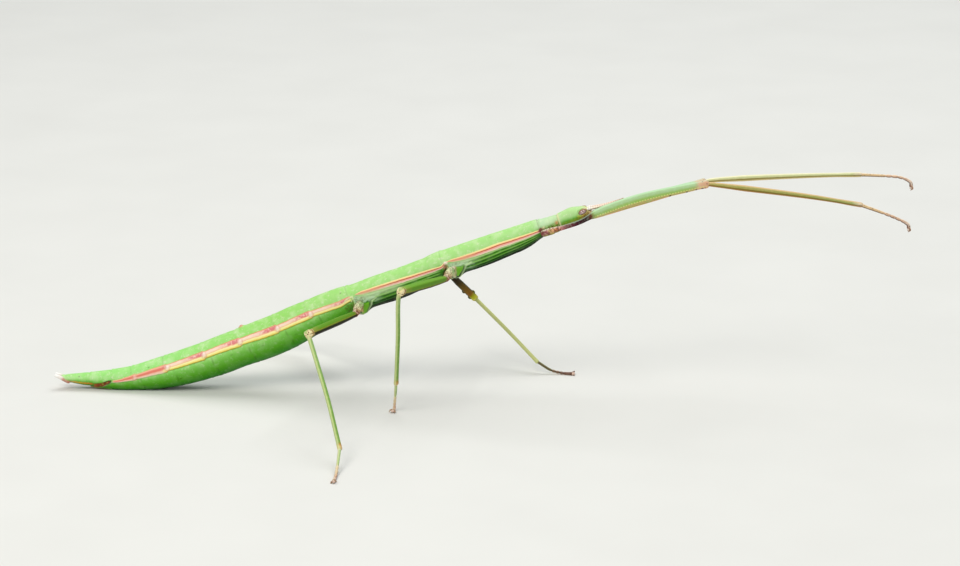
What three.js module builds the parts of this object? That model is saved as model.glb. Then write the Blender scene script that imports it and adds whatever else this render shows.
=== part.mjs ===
// A stick insect at life size: adult female, fore legs stretched out ahead of the head.
// Millimetres, +X towards the head, +Y to the insect's left, +Z up, resting on the plane z = 0.
import * as THREE from 'three';

// ---- Frame -----------------------------------------------------------------------------------
const FLOOR = 0;
const ORIGIN = { x: 0.25, y: -9.95 };      // middle of the whole outline, seen from above
const CUT = 0.24;                        // thin cut that parts two neighbouring nodes
const JOINT_CUT = 0.32;                  // the same where two pieces of a leg meet at an angle
const EYE_CUT = 0.08;                    // the same between an eye and the head

// ---- Fineness of the facets ------------------------------------------------------------------
const BODY_SIDES = 20;                   // facets round the body, and round a leg or a feeler
const LIMB_SIDES = 8;
const RING_STEP = 1.3;                   // length of one ring of facets on the body
const FEWEST_RINGS = 3;                  // on the shortest pieces
const ROD_RINGS = 4;                     // on a feeler, a palp or a cercus
const EYE_SIDES = 12;
const EYE_RINGS = 8;
const SPINE_STEPS = 1200;                // samples that measure the length of the body's axis

// ---- Body, from the tip of the abdomen forward -------------------------------------------------
// length and slope (degrees) of each segment's axis; tall and wide are its full size at the rear,
// girth makes a segment slimmer or stouter than its neighbours where they meet, and belly is how
// far its underside bulges down at the middle.
const TAIL = { x: -54.2, z: 1.32 };
const SEGMENTS = [
  { name: 'abdomen_10', length: 3.6, slope: -1, tall: 0.85, wide: 1.15 },
  { name: 'abdomen_9', length: 2.85, slope: -1, tall: 1.72, wide: 1.85 },
  { name: 'abdomen_8', length: 2.8, slope: 4, tall: 2.55, wide: 2.5 },
  { name: 'abdomen_7', length: 4.55, slope: 11, tall: 3.16, wide: 3.05 },
  { name: 'abdomen_6', length: 5.15, slope: 16.5, tall: 4.24, wide: 3.95 },
  { name: 'abdomen_5', length: 5.05, slope: 21, tall: 4.8, wide: 4.4 },
  { name: 'abdomen_4', length: 5.3, slope: 21.5, tall: 4.94, wide: 4.55 },
  { name: 'abdomen_3', length: 4.7, slope: 27, tall: 5.16, wide: 4.65 },
  { name: 'abdomen_2', length: 5.6, slope: 26, tall: 4.66, wide: 4.3 },
  { name: 'metathorax', length: 12.85, slope: 21.5, tall: 3.78, wide: 3.7, belly: 0.25 },
  { name: 'mesothorax', length: 13.3, slope: 21.2, tall: 3.46, wide: 3.4, belly: 0.6 },
  { name: 'prothorax', length: 2.6, slope: 21, tall: 2.44, wide: 2.6, girth: 0.88 },
  { name: 'head', length: 4.2, slope: 19.5, tall: 1.96, wide: 2.1 },
];
const HEAD_FRONT = { tall: 1.25, wide: 1.35 };
const HEAD_SWELL = 0.2;                  // extra girth of the head behind its eyes
const SEGMENT_SWELL = 0.025;             // extra girth at the middle of every other segment

// ---- Small parts of the head and the tail ------------------------------------------------------
const EYE = { along: 0.75, up: 0.4, long: 1.0, tall: 0.85, wide: 0.5 };
const ANTENNA = { along: 0.97, side: 0.38, up: 0.38, length: 4.7, thick: 0.5, rise: 17.5, gap: 0.3 };
const PALP = { along: 1.0, side: 0.3, drop: 0.28, length: 0.55, thick: 0.5 };
const OPERCULUM = { length: 2.0, thick: 0.5, front: 1.75, rear: 0.8, under: 'abdomen_9' };
const CERCUS = { length: 0.87, thick: 0.5, side: 0.36, up: 0.18, gap: 0.3, rise: 26 };
const ROD_TAPER = 0.25;                  // how much thinner these rods are at their ends

// ---- Legs --------------------------------------------------------------------------------------
// Thicknesses are [share of the length, depth in the leg's own plane, breadth across it].
const COXA_SHAPES = {
  fore: [[0, 0.82, 0.7], [0.5, 0.88, 0.75], [1, 0.68, 0.62]],
  rest: [[0, 0.95, 0.95], [0.6, 1.05, 1.0], [1, 0.85, 0.82]],
};
const FEMUR_SHAPES = {
  fore: [[0, 0.6, 0.56], [0.2, 0.62, 0.58], [0.29, 1.22, 0.86], [0.88, 1.1, 0.88], [1, 1.1, 0.92]],
  rest: [[0, 0.74, 0.74], [0.2, 1.0, 0.98], [0.85, 1.06, 1.0], [1, 1.16, 1.0]],
};
const TIBIA_SHAPES = {
  fore: [[0, 0.62, 0.6], [0.25, 0.76, 0.7], [0.85, 0.58, 0.56], [1, 0.66, 0.6]],
  rest: [[0, 0.72, 0.68], [0.12, 0.6, 0.58], [0.85, 0.56, 0.56], [1, 0.66, 0.6]],
};
const TARSUS_SHAPE = [[0, 0.52, 0.5], [0.48, 0.5, 0.5], [0.8, 0.54, 0.54], [1, 0.5, 0.5]];
const FOOT_HEIGHT = 0.19;                // a resting foot's middle line above the floor
const PIECES = ['coxa', 'femur', 'tibia', 'tarsus'];
const PIECE_FINISHES = ['coxa_brown', 'leg_green', 'leg_green', 'tarsus_brown'];
const PIECE_RINGS = { fore: [3, 14, 8, 9], rest: [3, 8, 8, 9] };

// The joints of each leg from the body outward, in the insect's own place: right legs have y < 0.
// hip, then the coxa's end, bends of the femur, knee, bends of the tibia, ankle, bends of the foot.
const LEGS = [
  {
    name: 'fore_right',
    coxa: [[8.45, -1.72, 21.45], [10.1, -1.82, 22.02]],
    femur: [[12.7, -1.6, 22.84], [14.3, -1.12, 23.55], [16.3, -0.74, 24.28], [20.35, -0.66, 25.66],
      [28.7, -0.66, 27.6]],
    tibia: [[32.9, -1.8, 27.4], [41.85, -4.2, 26.85], [47.8, -5.75, 26.25]],
    tarsus: [[51.35, -5.9, 24.97], [52.55, -5.9, 24.45], [53.4, -5.9, 24.03], [53.85, -5.9, 23.65],
      [53.9, -5.9, 23.2]],
  },
  {
    name: 'fore_left',
    coxa: [[8.45, 1.72, 21.35], [10.1, 1.82, 21.9]],
    femur: [[12.7, 1.6, 22.55], [14.3, 1.12, 23.08], [16.3, 0.74, 23.8], [20.4, 0.66, 25.1],
      [28.5, 0.66, 27.45]],
    tibia: [[33.2, 1.8, 27.6], [42.7, 4.2, 27.4], [49.0, 5.75, 27.1]],
    tarsus: [[53.0, 5.9, 26.86], [54.0, 5.9, 26.75], [54.95, 5.9, 26.45], [55.52, 5.9, 26.0],
      [55.6, 5.9, 25.45]],
  },
  {
    name: 'mid_right',
    coxa: [[-3.9, -1.95, 16.2], [-4.35, -2.65, 15.62]],
    femur: [[-9.75, -11.85, 16.75]],
    tibia: [[-10.3, -11.1, 10.3], [-10.6, -9.9, 4.0]],
    tarsus: [[-10.75, -9.3, 2.0], [-10.85, -8.95, 0.8], [-10.9, -9.05, 0], [-11.0, -9.75, 0]],
  },
  {
    name: 'mid_left',
    coxa: [[-3.8, 1.3, 14.9], [-3.8, 2.4, 14.6]],
    femur: [[-0.8, 11.0, 8.95]],
    tibia: [[3.55, 8.6, 5.15], [7.5, 6.2, 1.55]],
    tarsus: [[9.4, 5.7, 0.5], [11.1, 5.4, 0], [12.0, 5.2, 0]],
  },
  {
    name: 'hind_right',
    coxa: [[-15.5, -2.15, 11.75], [-15.95, -2.8, 10.95]],
    femur: [[-21.0, -16.85, 12.95]],
    tibia: [[-19.85, -20.2, 9.65], [-18.5, -23.8, 6.5], [-16.95, -28.5, 2.05]],
    tarsus: [[-17.1, -31.1, 0.95], [-17.25, -33.0, 0.25], [-17.4, -34.7, 0]],
  },
  {
    name: 'hind_left',
    coxa: [[-15.3, 1.5, 10.1], [-15.9, 2.6, 9.85]],
    femur: [[-23.7, 13.9, 5.0]],
    tibia: [[-30.5, 14.53, 2.8], [-37.1, 14.2, 0.95]],
    tarsus: [[-38.9, 13.5, 0.35], [-40.5, 12.4, 0], [-41.1, 11.5, 0]],
  },
];

// ---- Colours -----------------------------------------------------------------------------------
const FINISHES = {
  green: { color: 0x8fbf6a, roughness: 0.55 },
  pale_green: { color: 0xb9d898, roughness: 0.55 },
  leg_green: { color: 0x8fa662, roughness: 0.6 },
  coxa_brown: { color: 0x8a6a4c, roughness: 0.6 },
  tarsus_brown: { color: 0xa59a72, roughness: 0.6 },
  feeler: { color: 0xcfa79a, roughness: 0.6 },
  eye_brown: { color: 0x6b4a52, roughness: 0.3 },
};

const point = ([x, y, z]) => new THREE.Vector3(x, y, z);
const radians = THREE.MathUtils.degToRad;
const insect = new THREE.Group();

/** Adds a closed geometry to the insect as a named mesh. */
function add(name, geometry, finish) {
  const material = new THREE.MeshStandardMaterial({ ...FINISHES[finish], metalness: 0 });
  const mesh = new THREE.Mesh(geometry, material);
  mesh.name = name;
  mesh.position.set(-ORIGIN.x, -ORIGIN.y, 0);
  insect.add(mesh);
}

/** Reads a table of [share, value, value ...] rows at one share, with straight steps between. */
function readTable(table, share) {
  const last = table.length - 1;
  let row = 0;
  while (row < last - 1 && share > table[row + 1][0]) row += 1;
  const [from, ...low] = table[row];
  const [to, ...high] = table[row + 1];
  const mix = THREE.MathUtils.clamp((share - from) / (to - from), 0, 1);
  return low.map((value, index) => THREE.MathUtils.lerp(value, high[index], mix));
}

/**
 * A closed loft: a cylinder whose rings are laid along a curve.
 * size(share) gives the full height and width there and how far the ring is lowered, and across
 * is the direction of the width.
 * Nothing goes below the lowest level, so what rests on the floor gets a small flat.
 */
function loft({ curve, size, across, sides, rings, start = 0, end = 1, lowest = FLOOR }) {
  const geometry = new THREE.CylinderGeometry(1, 1, 1, sides, rings);
  const place = geometry.attributes.position;
  const ring = new THREE.Vector3();
  for (let index = 0; index < place.count; index += 1) {
    ring.fromBufferAttribute(place, index);
    const share = THREE.MathUtils.lerp(start, end, ring.y + 0.5);
    const tangent = curve.getTangentAt(share);
    const side = across.clone().addScaledVector(tangent, -across.dot(tangent)).normalize();
    const up = new THREE.Vector3().crossVectors(tangent, side);
    const [tall, wide, drop = 0] = size(share);
    const spot = curve.getPointAt(share);
    spot.addScaledVector(up, (-ring.z * tall) / 2 - drop);
    spot.addScaledVector(side, (ring.x * wide) / 2);
    place.setXYZ(index, spot.x, spot.y, Math.max(spot.z, lowest));
  }
  geometry.deleteAttribute('normal');
  geometry.deleteAttribute('uv');
  return geometry;
}

// ---- Body --------------------------------------------------------------------------------------
const LEFT = new THREE.Vector3(0, 1, 0);
const joints = [new THREE.Vector3(TAIL.x, 0, TAIL.z)];
for (const { length, slope } of SEGMENTS) {
  const step = new THREE.Vector3(Math.cos(radians(slope)), 0, Math.sin(radians(slope)));
  joints.push(joints.at(-1).clone().addScaledVector(step, length));
}
const spine = new THREE.CatmullRomCurve3(joints, false, 'centripetal');
spine.arcLengthDivisions = SPINE_STEPS;
const spineLength = spine.getLength();

/** Share of the spine's length at which joint number index lies. */
function jointShare(index) {
  const lengths = spine.getLengths(spine.arcLengthDivisions);
  const step = Math.round((index / SEGMENTS.length) * spine.arcLengthDivisions);
  return lengths[step] / spineLength;
}

/** Height, width and drop of segment number index, from its rear (0) to its front (1). */
function bodySize(index, along) {
  const rear = SEGMENTS[index];
  const front = SEGMENTS[index + 1] ?? HEAD_FRONT;
  const isHead = rear.name === 'head';
  const middle = Math.sin(Math.PI * Math.min(1, along));
  const swell = (rear.girth ?? 1) * (1 + middle * (isHead ? HEAD_SWELL : SEGMENT_SWELL));
  const belly = (rear.belly ?? 0) * middle;
  return [
    THREE.MathUtils.lerp(rear.tall, front.tall, along) * swell + belly,
    THREE.MathUtils.lerp(rear.wide, front.wide, along) * swell,
    belly / 2,
  ];
}

SEGMENTS.forEach(({ name, length }, index) => {
  const rear = jointShare(index);
  const front = jointShare(index + 1);
  const halfCut = CUT / 2 / spineLength;
  add(name, loft({
    curve: spine,
    size: (share) => bodySize(index, (share - rear) / (front - rear)),
    across: LEFT,
    sides: BODY_SIDES,
    rings: Math.max(FEWEST_RINGS, Math.round(length / RING_STEP)),
    start: index === 0 ? rear : rear + halfCut,
    end: name === 'head' ? front : front - halfCut,
    lowest: name === OPERCULUM.under ? OPERCULUM.thick + CUT : FLOOR,
  }), name.startsWith('abdomen') || name.endsWith('thorax') ? 'green' : 'pale_green');
});

// ---- Head parts --------------------------------------------------------------------------------
const headIndex = SEGMENTS.length - 1;
const headRear = jointShare(headIndex);

/** Place, forward direction and size of the head at a share of its length. */
function headAt(along) {
  const share = Math.min(1, THREE.MathUtils.lerp(headRear, 1, along));
  const forward = spine.getTangentAt(share);
  const up = new THREE.Vector3().crossVectors(forward, LEFT);
  const [tall, wide] = bodySize(headIndex, along);
  return { spot: spine.getPointAt(share), forward, up, tall, wide };
}

/** A short straight rod from one place along a direction, a little thinner at its far end. */
function rod(from, direction, length, thick) {
  const to = from.clone().addScaledVector(direction, length);
  const girth = (share) => thick * (1 - ROD_TAPER * share ** 3);
  return loft({
    curve: new THREE.LineCurve3(from, to),
    size: (share) => [girth(share), girth(share)],
    across: LEFT,
    sides: LIMB_SIDES,
    rings: ROD_RINGS,
  });
}

for (const [label, side] of [['right', -1], ['left', 1]]) {
  const temple = headAt(EYE.along);
  const eye = new THREE.SphereGeometry(1, EYE_SIDES, EYE_RINGS);
  eye.scale(EYE.long / 2, EYE.wide / 2, EYE.tall / 2);
  eye.rotateY(-radians(SEGMENTS[headIndex].slope));
  const eyeSpot = temple.spot.clone().addScaledVector(temple.up, EYE.up);
  const eyeOut = temple.wide / 2 + EYE.wide / 2 + EYE_CUT;
  eye.translate(eyeSpot.x, side * eyeOut, eyeSpot.z);
  eye.deleteAttribute('normal');
  eye.deleteAttribute('uv');
  add(`eye_${label}`, eye, 'eye_brown');

  const brow = headAt(ANTENNA.along);
  const rise = radians(ANTENNA.rise);
  const ahead = new THREE.Vector3(Math.cos(rise), 0, Math.sin(rise));
  const root = brow.spot.clone().addScaledVector(brow.up, ANTENNA.up);
  root.addScaledVector(brow.forward, ANTENNA.gap).setY(side * ANTENNA.side);
  add(`antenna_${label}`, rod(root, ahead, ANTENNA.length, ANTENNA.thick), 'feeler');

  const mouth = headAt(PALP.along);
  const chin = mouth.spot.clone().addScaledVector(mouth.up, -PALP.drop);
  chin.addScaledVector(mouth.forward, CUT).setY(side * PALP.side);
  add(`palp_${label}`, rod(chin, mouth.forward, PALP.length, PALP.thick), 'feeler');

  const tailEnd = joints[0].clone().setY(side * CERCUS.side);
  tailEnd.x -= CERCUS.gap;
  tailEnd.z += CERCUS.up;
  const lift = radians(CERCUS.rise);
  const back = new THREE.Vector3(-Math.cos(lift), 0, Math.sin(lift));
  add(`cercus_${label}`, rod(tailEnd, back, CERCUS.length, CERCUS.thick), 'feeler');
}

// ---- Operculum: the flat keel set into the underside of the ninth segment -------------------------
const keelIndex = SEGMENTS.findIndex(({ name }) => name === OPERCULUM.under);
const keelFront = joints[keelIndex + 1].clone().setZ(OPERCULUM.thick / 2);
keelFront.x -= CUT / 2;
const keelRear = keelFront.clone();
keelRear.x -= OPERCULUM.length;
add('operculum', loft({
  curve: new THREE.LineCurve3(keelRear, keelFront),
  size: (share) => [OPERCULUM.thick, THREE.MathUtils.lerp(OPERCULUM.rear, OPERCULUM.front, share)],
  across: LEFT,
  sides: LIMB_SIDES,
  rings: FEWEST_RINGS,
}), 'pale_green');

// ---- Legs --------------------------------------------------------------------------------------
/** Direction in which a path leaves its start, or reaches its end. */
const leaving = (path) => path[1].clone().sub(path[0]).normalize();
const reaching = (path) => path.at(-1).clone().sub(path.at(-2)).normalize();

/** How much of a piece's depth lies across another piece that meets it at a bend. */
const bend = (one, other) => Math.sqrt(Math.max(0, 1 - one.dot(other) ** 2));

/**
 * Builds one leg's pieces from its joints. At each joint the piece before runs on to the far side
 * of the next one, and the next one starts below it, a thin cut away.
 */
function buildLeg({ name, coxa, femur, tibia, tarsus }) {
  const free = name.startsWith('fore');
  const foot = tarsus.map(([x, y, z]) => [x, y, free ? z : Math.max(z, FOOT_HEIGHT)]);
  const chain = [coxa, [coxa.at(-1), ...femur], [femur.at(-1), ...tibia], [tibia.at(-1), ...foot]];
  const paths = chain.map((path) => path.map(point));
  const kind = free ? 'fore' : 'rest';
  const shapes = [COXA_SHAPES[kind], FEMUR_SHAPES[kind], TIBIA_SHAPES[kind], TARSUS_SHAPE];
  const across = free ? LEFT.clone() : reaching(paths[1]).cross(leaving(paths[2])).normalize();
  const heads = paths.map(leaving);
  const ends = paths.map(reaching);
  PIECES.forEach((piece, index) => {
    const path = paths[index].map((spot) => spot.clone());
    if (index > 0) {
      const depth = shapes[index - 1].at(-1)[1];
      const lap = (depth / 2) * bend(heads[index], ends[index - 1]);
      path[0].addScaledVector(heads[index], JOINT_CUT + lap);
    }
    if (piece !== PIECES.at(-1)) {
      const depth = shapes[index + 1][0][1];
      path.at(-1).addScaledVector(ends[index], (depth / 2) * bend(ends[index], heads[index + 1]));
    }
    const curve = path.length > 2
      ? new THREE.CatmullRomCurve3(path, false, 'centripetal')
      : new THREE.LineCurve3(...path);
    add(`${piece}_${name}`, loft({
      curve,
      size: (share) => readTable(shapes[index], share),
      across,
      sides: LIMB_SIDES,
      rings: PIECE_RINGS[kind][index],
    }), PIECE_FINISHES[index]);
  });
}
LEGS.forEach(buildLeg);

export default insect;
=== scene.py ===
"""A life-size stick insect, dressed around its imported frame.

Lengths in this file are millimetres and angles are degrees, until a finished mesh is placed: then
it is scaled to metres and set in the frame. +X points to the head, +Y to the insect's left.
"""

import logging
import math
from dataclasses import dataclass
from enum import Enum
from itertools import product
from typing import Sequence

import bmesh
import bpy
import numpy as np
from mathutils import Euler, Matrix, Vector, noise


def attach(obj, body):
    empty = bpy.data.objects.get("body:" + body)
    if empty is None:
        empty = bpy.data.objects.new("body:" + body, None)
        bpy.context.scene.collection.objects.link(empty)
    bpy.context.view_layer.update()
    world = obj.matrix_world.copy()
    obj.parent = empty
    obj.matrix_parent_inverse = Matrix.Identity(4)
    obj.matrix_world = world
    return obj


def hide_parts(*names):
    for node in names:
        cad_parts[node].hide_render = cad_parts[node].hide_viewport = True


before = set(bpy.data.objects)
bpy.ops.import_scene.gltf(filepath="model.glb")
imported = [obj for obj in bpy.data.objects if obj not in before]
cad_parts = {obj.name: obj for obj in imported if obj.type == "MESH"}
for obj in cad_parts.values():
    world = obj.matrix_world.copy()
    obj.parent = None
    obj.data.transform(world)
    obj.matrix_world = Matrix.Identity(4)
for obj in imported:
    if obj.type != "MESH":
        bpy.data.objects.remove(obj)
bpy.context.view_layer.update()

LOG = logging.getLogger("stick_insect")
METRE = 0.001  # one millimetre in metres
ORIGIN = Vector((0.25, -9.95, 0.0))  # middle of the whole outline in the insect's own place
LEFTWARD = Vector((0.0, 1.0, 0.0))
FLOOR = 0.0
FOOT_HEIGHT = 0.19  # a resting foot's middle line above the floor
MERGE = 1e-4  # corners closer than this are one corner
BEAD_SIDES = 24
BEAD_RINGS = 14

Row = np.ndarray
Mesh = bmesh.types.BMesh
Socket = bpy.types.NodeSocket
Material = bpy.types.Material
Piece = bpy.types.Object
Colour = int  # a screen colour, 0xRRGGBB
Triple = tuple[float, float, float]
Course = Sequence[Vector]
Stops = Sequence[tuple[float, Colour]]
Table = Sequence[Sequence[float]]


class Side(Enum):
    """The insect's right and left, as the sign of Y."""

    RIGHT = -1
    LEFT = 1

    @property
    def label(self) -> str:
        """The side's name in lower case."""
        return self.name.lower()


class Slot(Enum):
    """The record's material slots."""

    BODY = "body_green"
    HEAD = "head_green"
    LEG = "leg_green"
    COXA = "coxa_brown"
    TARSUS = "tarsus_brown"
    FEELER = "feeler_pink"
    EYE = "eye_brown"


# ---- Small sums ----


def linear(colour: Colour) -> Triple:
    """The linear red, green and blue of a screen colour, by the sRGB curve."""
    shares = [value / 255 for value in colour.to_bytes(3, "big")]
    return tuple(s / 12.92 if s <= 0.04045 else ((s + 0.055) / 1.055) ** 2.4 for s in shares)


def hump(value: Row, centre: float | Row, width: float | Row) -> Row:
    """A smooth hill of height 1 at its centre, sunk to about a third a width away."""
    return np.exp(-(((value - centre) / width) ** 2))


def climb(value: Row, low: float | Row, high: float | Row) -> Row:
    """A smooth step from 0 at low to 1 at high, or down where high is the lower."""
    share = np.clip((value - low) / (high - low), 0, 1)
    return share * share * (3 - 2 * share)


def between(value: Row, low: float, high: float, soft: float) -> Row:
    """A plateau of height 1 from low to high, with soft edges."""
    return climb(value, low - soft, low + soft) * climb(value, high + soft, high - soft)


def column(table: Table, share: Row, index: int) -> Row:
    """Reads one column, counted from 1, of a table of rows that start with a share."""
    return np.interp(share, [row[0] for row in table], [row[index] for row in table])


def mottle(places: Row, scale: float, seed: float) -> Row:
    """Smooth noise at places, from about -1 to 1, with scale lumps to the millimetre."""
    shift = Vector((seed, seed * 1.7, -seed))
    return np.array([noise.noise(Vector(place) * scale + shift) for place in places])


def inset(across: Row, height: Row, corners: Table) -> Row:
    """How far places lie inside a convex patch.

    Args:
        across: The places' distances along the skin.
        height: Their heights beside the side line.
        corners: The patch's corners, clockwise seen with the head to the right.

    Returns:
        The distance to the patch's nearest edge, negative outside.
    """
    depth = np.full_like(across, np.inf)
    for (x0, y0), (x1, y1) in zip(corners, (*corners[1:], corners[0])):
        span = math.hypot(x1 - x0, y1 - y0)
        edge = ((across - x0) * (y1 - y0) - (height - y0) * (x1 - x0)) / span
        depth = np.minimum(depth, edge)
    return depth


# ---- Making meshes ----


class Path:
    """A smooth curve through points, walked by distance from its start."""

    STEPS = 40  # samples between two points

    def __init__(self, points: Course) -> None:
        """Lays the curve.

        Args:
            points: The points that it goes through, two or more.
        """
        knots = [2 * points[0] - points[1], *points, 2 * points[-1] - points[-2]]
        spots = []
        for index in range(len(points) - 1):
            spots += self._span(knots[index:index + 4])
        spots.append(points[-1])
        self.spots = np.array([spot.to_tuple() for spot in spots])
        steps = np.linalg.norm(np.diff(self.spots, axis=0), axis=1)
        self.marks = np.concatenate([[0.0], np.cumsum(steps)])
        self.length = float(self.marks[-1])
        slopes = np.gradient(self.spots, self.marks, axis=0)
        self.headings = slopes / np.linalg.norm(slopes, axis=1, keepdims=True)

    def _span(self, knots: Course) -> list[Vector]:
        """Samples the stretch between the middle two of four points.

        Args:
            knots: The point before, the two ends of the stretch, and the point after.

        Returns:
            The samples, without the last one.
        """
        before, start, end, after = knots
        lead, span, trail = (math.sqrt((b - a).length) for a, b in zip(knots, knots[1:]))
        leave = ((start - before) / lead - (end - before) / (lead + span)) * span + end - start
        reach = ((after - end) / trail - (after - start) / (span + trail)) * span + end - start
        samples = []
        for step in range(self.STEPS):
            t = step / self.STEPS
            bend = 3 * (end - start) - 2 * leave - reach
            twist = 2 * (start - end) + leave + reach
            samples.append(start + leave * t + bend * t ** 2 + twist * t ** 3)
        return samples

    def joint(self, number: int) -> float:
        """Distance of one of the curve's own points from its start."""
        return float(self.marks[min(number * self.STEPS, len(self.marks) - 1)])

    def walk(self, reach: Row) -> tuple[Row, Row]:
        """Places and directions at distances from the start, straight on past both ends.

        Args:
            reach: The distances.

        Returns:
            Rows of places, and rows of directions.
        """
        inside = np.clip(reach, 0, self.length)
        ahead = np.stack([np.interp(inside, self.marks, row) for row in self.headings.T], axis=1)
        ahead /= np.linalg.norm(ahead, axis=1, keepdims=True)
        spots = np.stack([np.interp(inside, self.marks, row) for row in self.spots.T], axis=1)
        return spots + ahead * (reach - inside)[:, None], ahead


class Sheet:
    """A flat grid that is rolled into a closed tube, with marks that its material reads."""

    def __init__(self, rings: int, sides: int) -> None:
        """Starts the grid.

        Args:
            rings: Its steps along the tube.
            sides: Its steps around the tube.
        """
        self.mesh = bmesh.new()
        bmesh.ops.create_grid(self.mesh, x_segments=rings, y_segments=sides, size=0.5)
        flat = np.array([corner.co.to_tuple() for corner in self.mesh.verts])
        self.along = flat[:, 0] + 0.5
        self.around = flat[:, 1] * math.tau

    def roll(self, places: Row, marks: dict[str, Row]) -> Mesh:
        """Moves the grid's corners to their places and closes its seam and its ends.

        Args:
            places: Rows of x, y, z, one for each corner.
            marks: Values for each corner, by name.

        Returns:
            The closed mesh.
        """
        layers = [(self.mesh.verts.layers.float.new(name), row) for name, row in marks.items()]
        for index, corner in enumerate(self.mesh.verts):
            corner.co = places[index]
            for layer, row in layers:
                corner[layer] = row[index]
        bmesh.ops.remove_doubles(self.mesh, verts=self.mesh.verts, dist=MERGE)
        bmesh.ops.recalc_face_normals(self.mesh, faces=self.mesh.faces)
        return self.mesh


@dataclass
class Tube:
    """A limb-like piece: a path with a table of sizes, ridges along it and two round ends.

    Attributes:
        path: Points of its middle line.
        across: Direction of its breadth.
        sizes: Rows of [share, depth, breadth].
        square: How boxy its section is: 2 is an ellipse, and more is squarer.
        ridges: Rows of [angle from the top, height], raised along its whole length.
        knots: Shares where it is pinched, as between the small pieces of a foot.
        pinch: How much thinner it is there.
        domes: Lengths of its round ends, as shares of half its depth there.
        rings: Steps along it.
        sides: Steps around it.
    """

    path: Course
    across: Vector
    sizes: Table
    square: float = 2.3
    ridges: Table = ()
    knots: Sequence[float] = ()
    pinch: float = 0.0
    domes: tuple[float, float] = (1.0, 1.0)
    rings: int = 120
    sides: int = 28

    RIDGE_WIDTH = 17.0  # in degrees round the tube
    KNOT_WIDTH = 0.11  # along the tube
    DOME_SHARE = 0.07  # share of the rings that each round end takes

    def build(self) -> Mesh:
        """Builds the tube.

        Returns:
            Its closed mesh, with the marks share, reach, keel and flank.
        """
        sheet = Sheet(self.rings, self.sides)
        line = Path(self.path)
        ends = [column(self.sizes, np.array([share]), 1)[0] / 2 for share in (0.0, 1.0)]
        reach, swell = self._lengthways(sheet.along, line.length, ends)
        share = np.clip(reach / line.length, 0, 1)
        spots, ahead = line.walk(reach)
        side = np.array(self.across)[None, :] - (ahead @ np.array(self.across))[:, None] * ahead
        side /= np.linalg.norm(side, axis=1, keepdims=True)
        up = np.cross(ahead, side)
        cosine = np.cos(sheet.around)
        sine = np.sin(sheet.around)
        box = (np.abs(cosine) ** self.square + np.abs(sine) ** self.square) ** (1 / self.square)
        swell = swell * (1 - self._pinches(reach, line.length))
        relief = self._ridges(sheet.around) * swell
        tall = (column(self.sizes, share, 1) / 2 / box) * swell + relief
        wide = (column(self.sizes, share, 2) / 2 / box) * swell + relief
        places = spots + up * (tall * cosine)[:, None] + side * (wide * sine)[:, None]
        places[:, 2] = np.maximum(places[:, 2], FLOOR)
        marks = {"share": share, "reach": reach, "keel": cosine, "flank": sine}
        return sheet.roll(places, marks)

    def _lengthways(
        self, along: Row, length: float, ends: Sequence[float]
    ) -> tuple[Row, Row]:
        """Distance along the path and girth of each ring, with round ends.

        Args:
            along: The rings' shares of the grid.
            length: The path's length.
            ends: Half the depth at its two ends.

        Returns:
            Distance of each corner along the path, and its share of the full girth.
        """
        rear, front = (dome * end for dome, end in zip(self.domes, ends))
        cut = self.DOME_SHARE
        turn = np.clip(along / cut, 0, 1) * math.pi / 2
        close = np.clip((1 - along) / cut, 0, 1) * math.pi / 2
        middle = np.clip((along - cut) / (1 - 2 * cut), 0, 1) * length
        reach = middle - rear * np.cos(turn) + front * np.cos(close)
        return reach, np.sin(turn) * np.sin(close)

    def _ridges(self, around: Row) -> Row:
        """Height of the lengthways ridges at each angle.

        Args:
            around: Angles round the tube, from its top.

        Returns:
            The heights.
        """
        height = np.zeros_like(around)
        for angle, rise in self.ridges:
            gap = np.angle(np.exp(1j * (around - math.radians(angle))))
            height += rise * hump(gap, 0, math.radians(self.RIDGE_WIDTH))
        return height

    def _pinches(self, reach: Row, length: float) -> Row:
        """How much thinner the tube is at each distance along it.

        Args:
            reach: Distances along the tube.
            length: The tube's length.

        Returns:
            How much thinner, as shares.
        """
        depth = np.zeros_like(reach)
        for share in self.knots:
            depth += self.pinch * hump(reach, share * length, self.KNOT_WIDTH)
        return depth


def join(parts: Sequence[Mesh]) -> Mesh:
    """Joins meshes into the first of them.

    Args:
        parts: The meshes. All but the first are freed.

    Returns:
        The first mesh, holding everything.
    """
    whole = parts[0]
    for part in parts[1:]:
        scratch = bpy.data.meshes.new("scratch")
        part.to_mesh(scratch)
        part.free()
        whole.from_mesh(scratch)
        bpy.data.meshes.remove(scratch)
    return whole


def bead(centre: Vector, half: Vector, turn: Matrix, marks: dict[str, float]) -> Mesh:
    """A smooth egg shape.

    Args:
        centre: Its middle.
        half: Half its size along its own three directions.
        turn: How it is turned.
        marks: Values that its material reads, the same all over.

    Returns:
        Its closed mesh.
    """
    mesh = bmesh.new()
    bmesh.ops.create_uvsphere(mesh, u_segments=BEAD_SIDES, v_segments=BEAD_RINGS, radius=1.0)
    bmesh.ops.scale(mesh, vec=half, verts=mesh.verts)
    bmesh.ops.transform(mesh, matrix=Matrix.Translation(centre) @ turn.to_4x4(), verts=mesh.verts)
    for name, value in marks.items():
        layer = mesh.verts.layers.float.new(name)
        for corner in mesh.verts:
            corner[layer] = value
    return mesh


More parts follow.
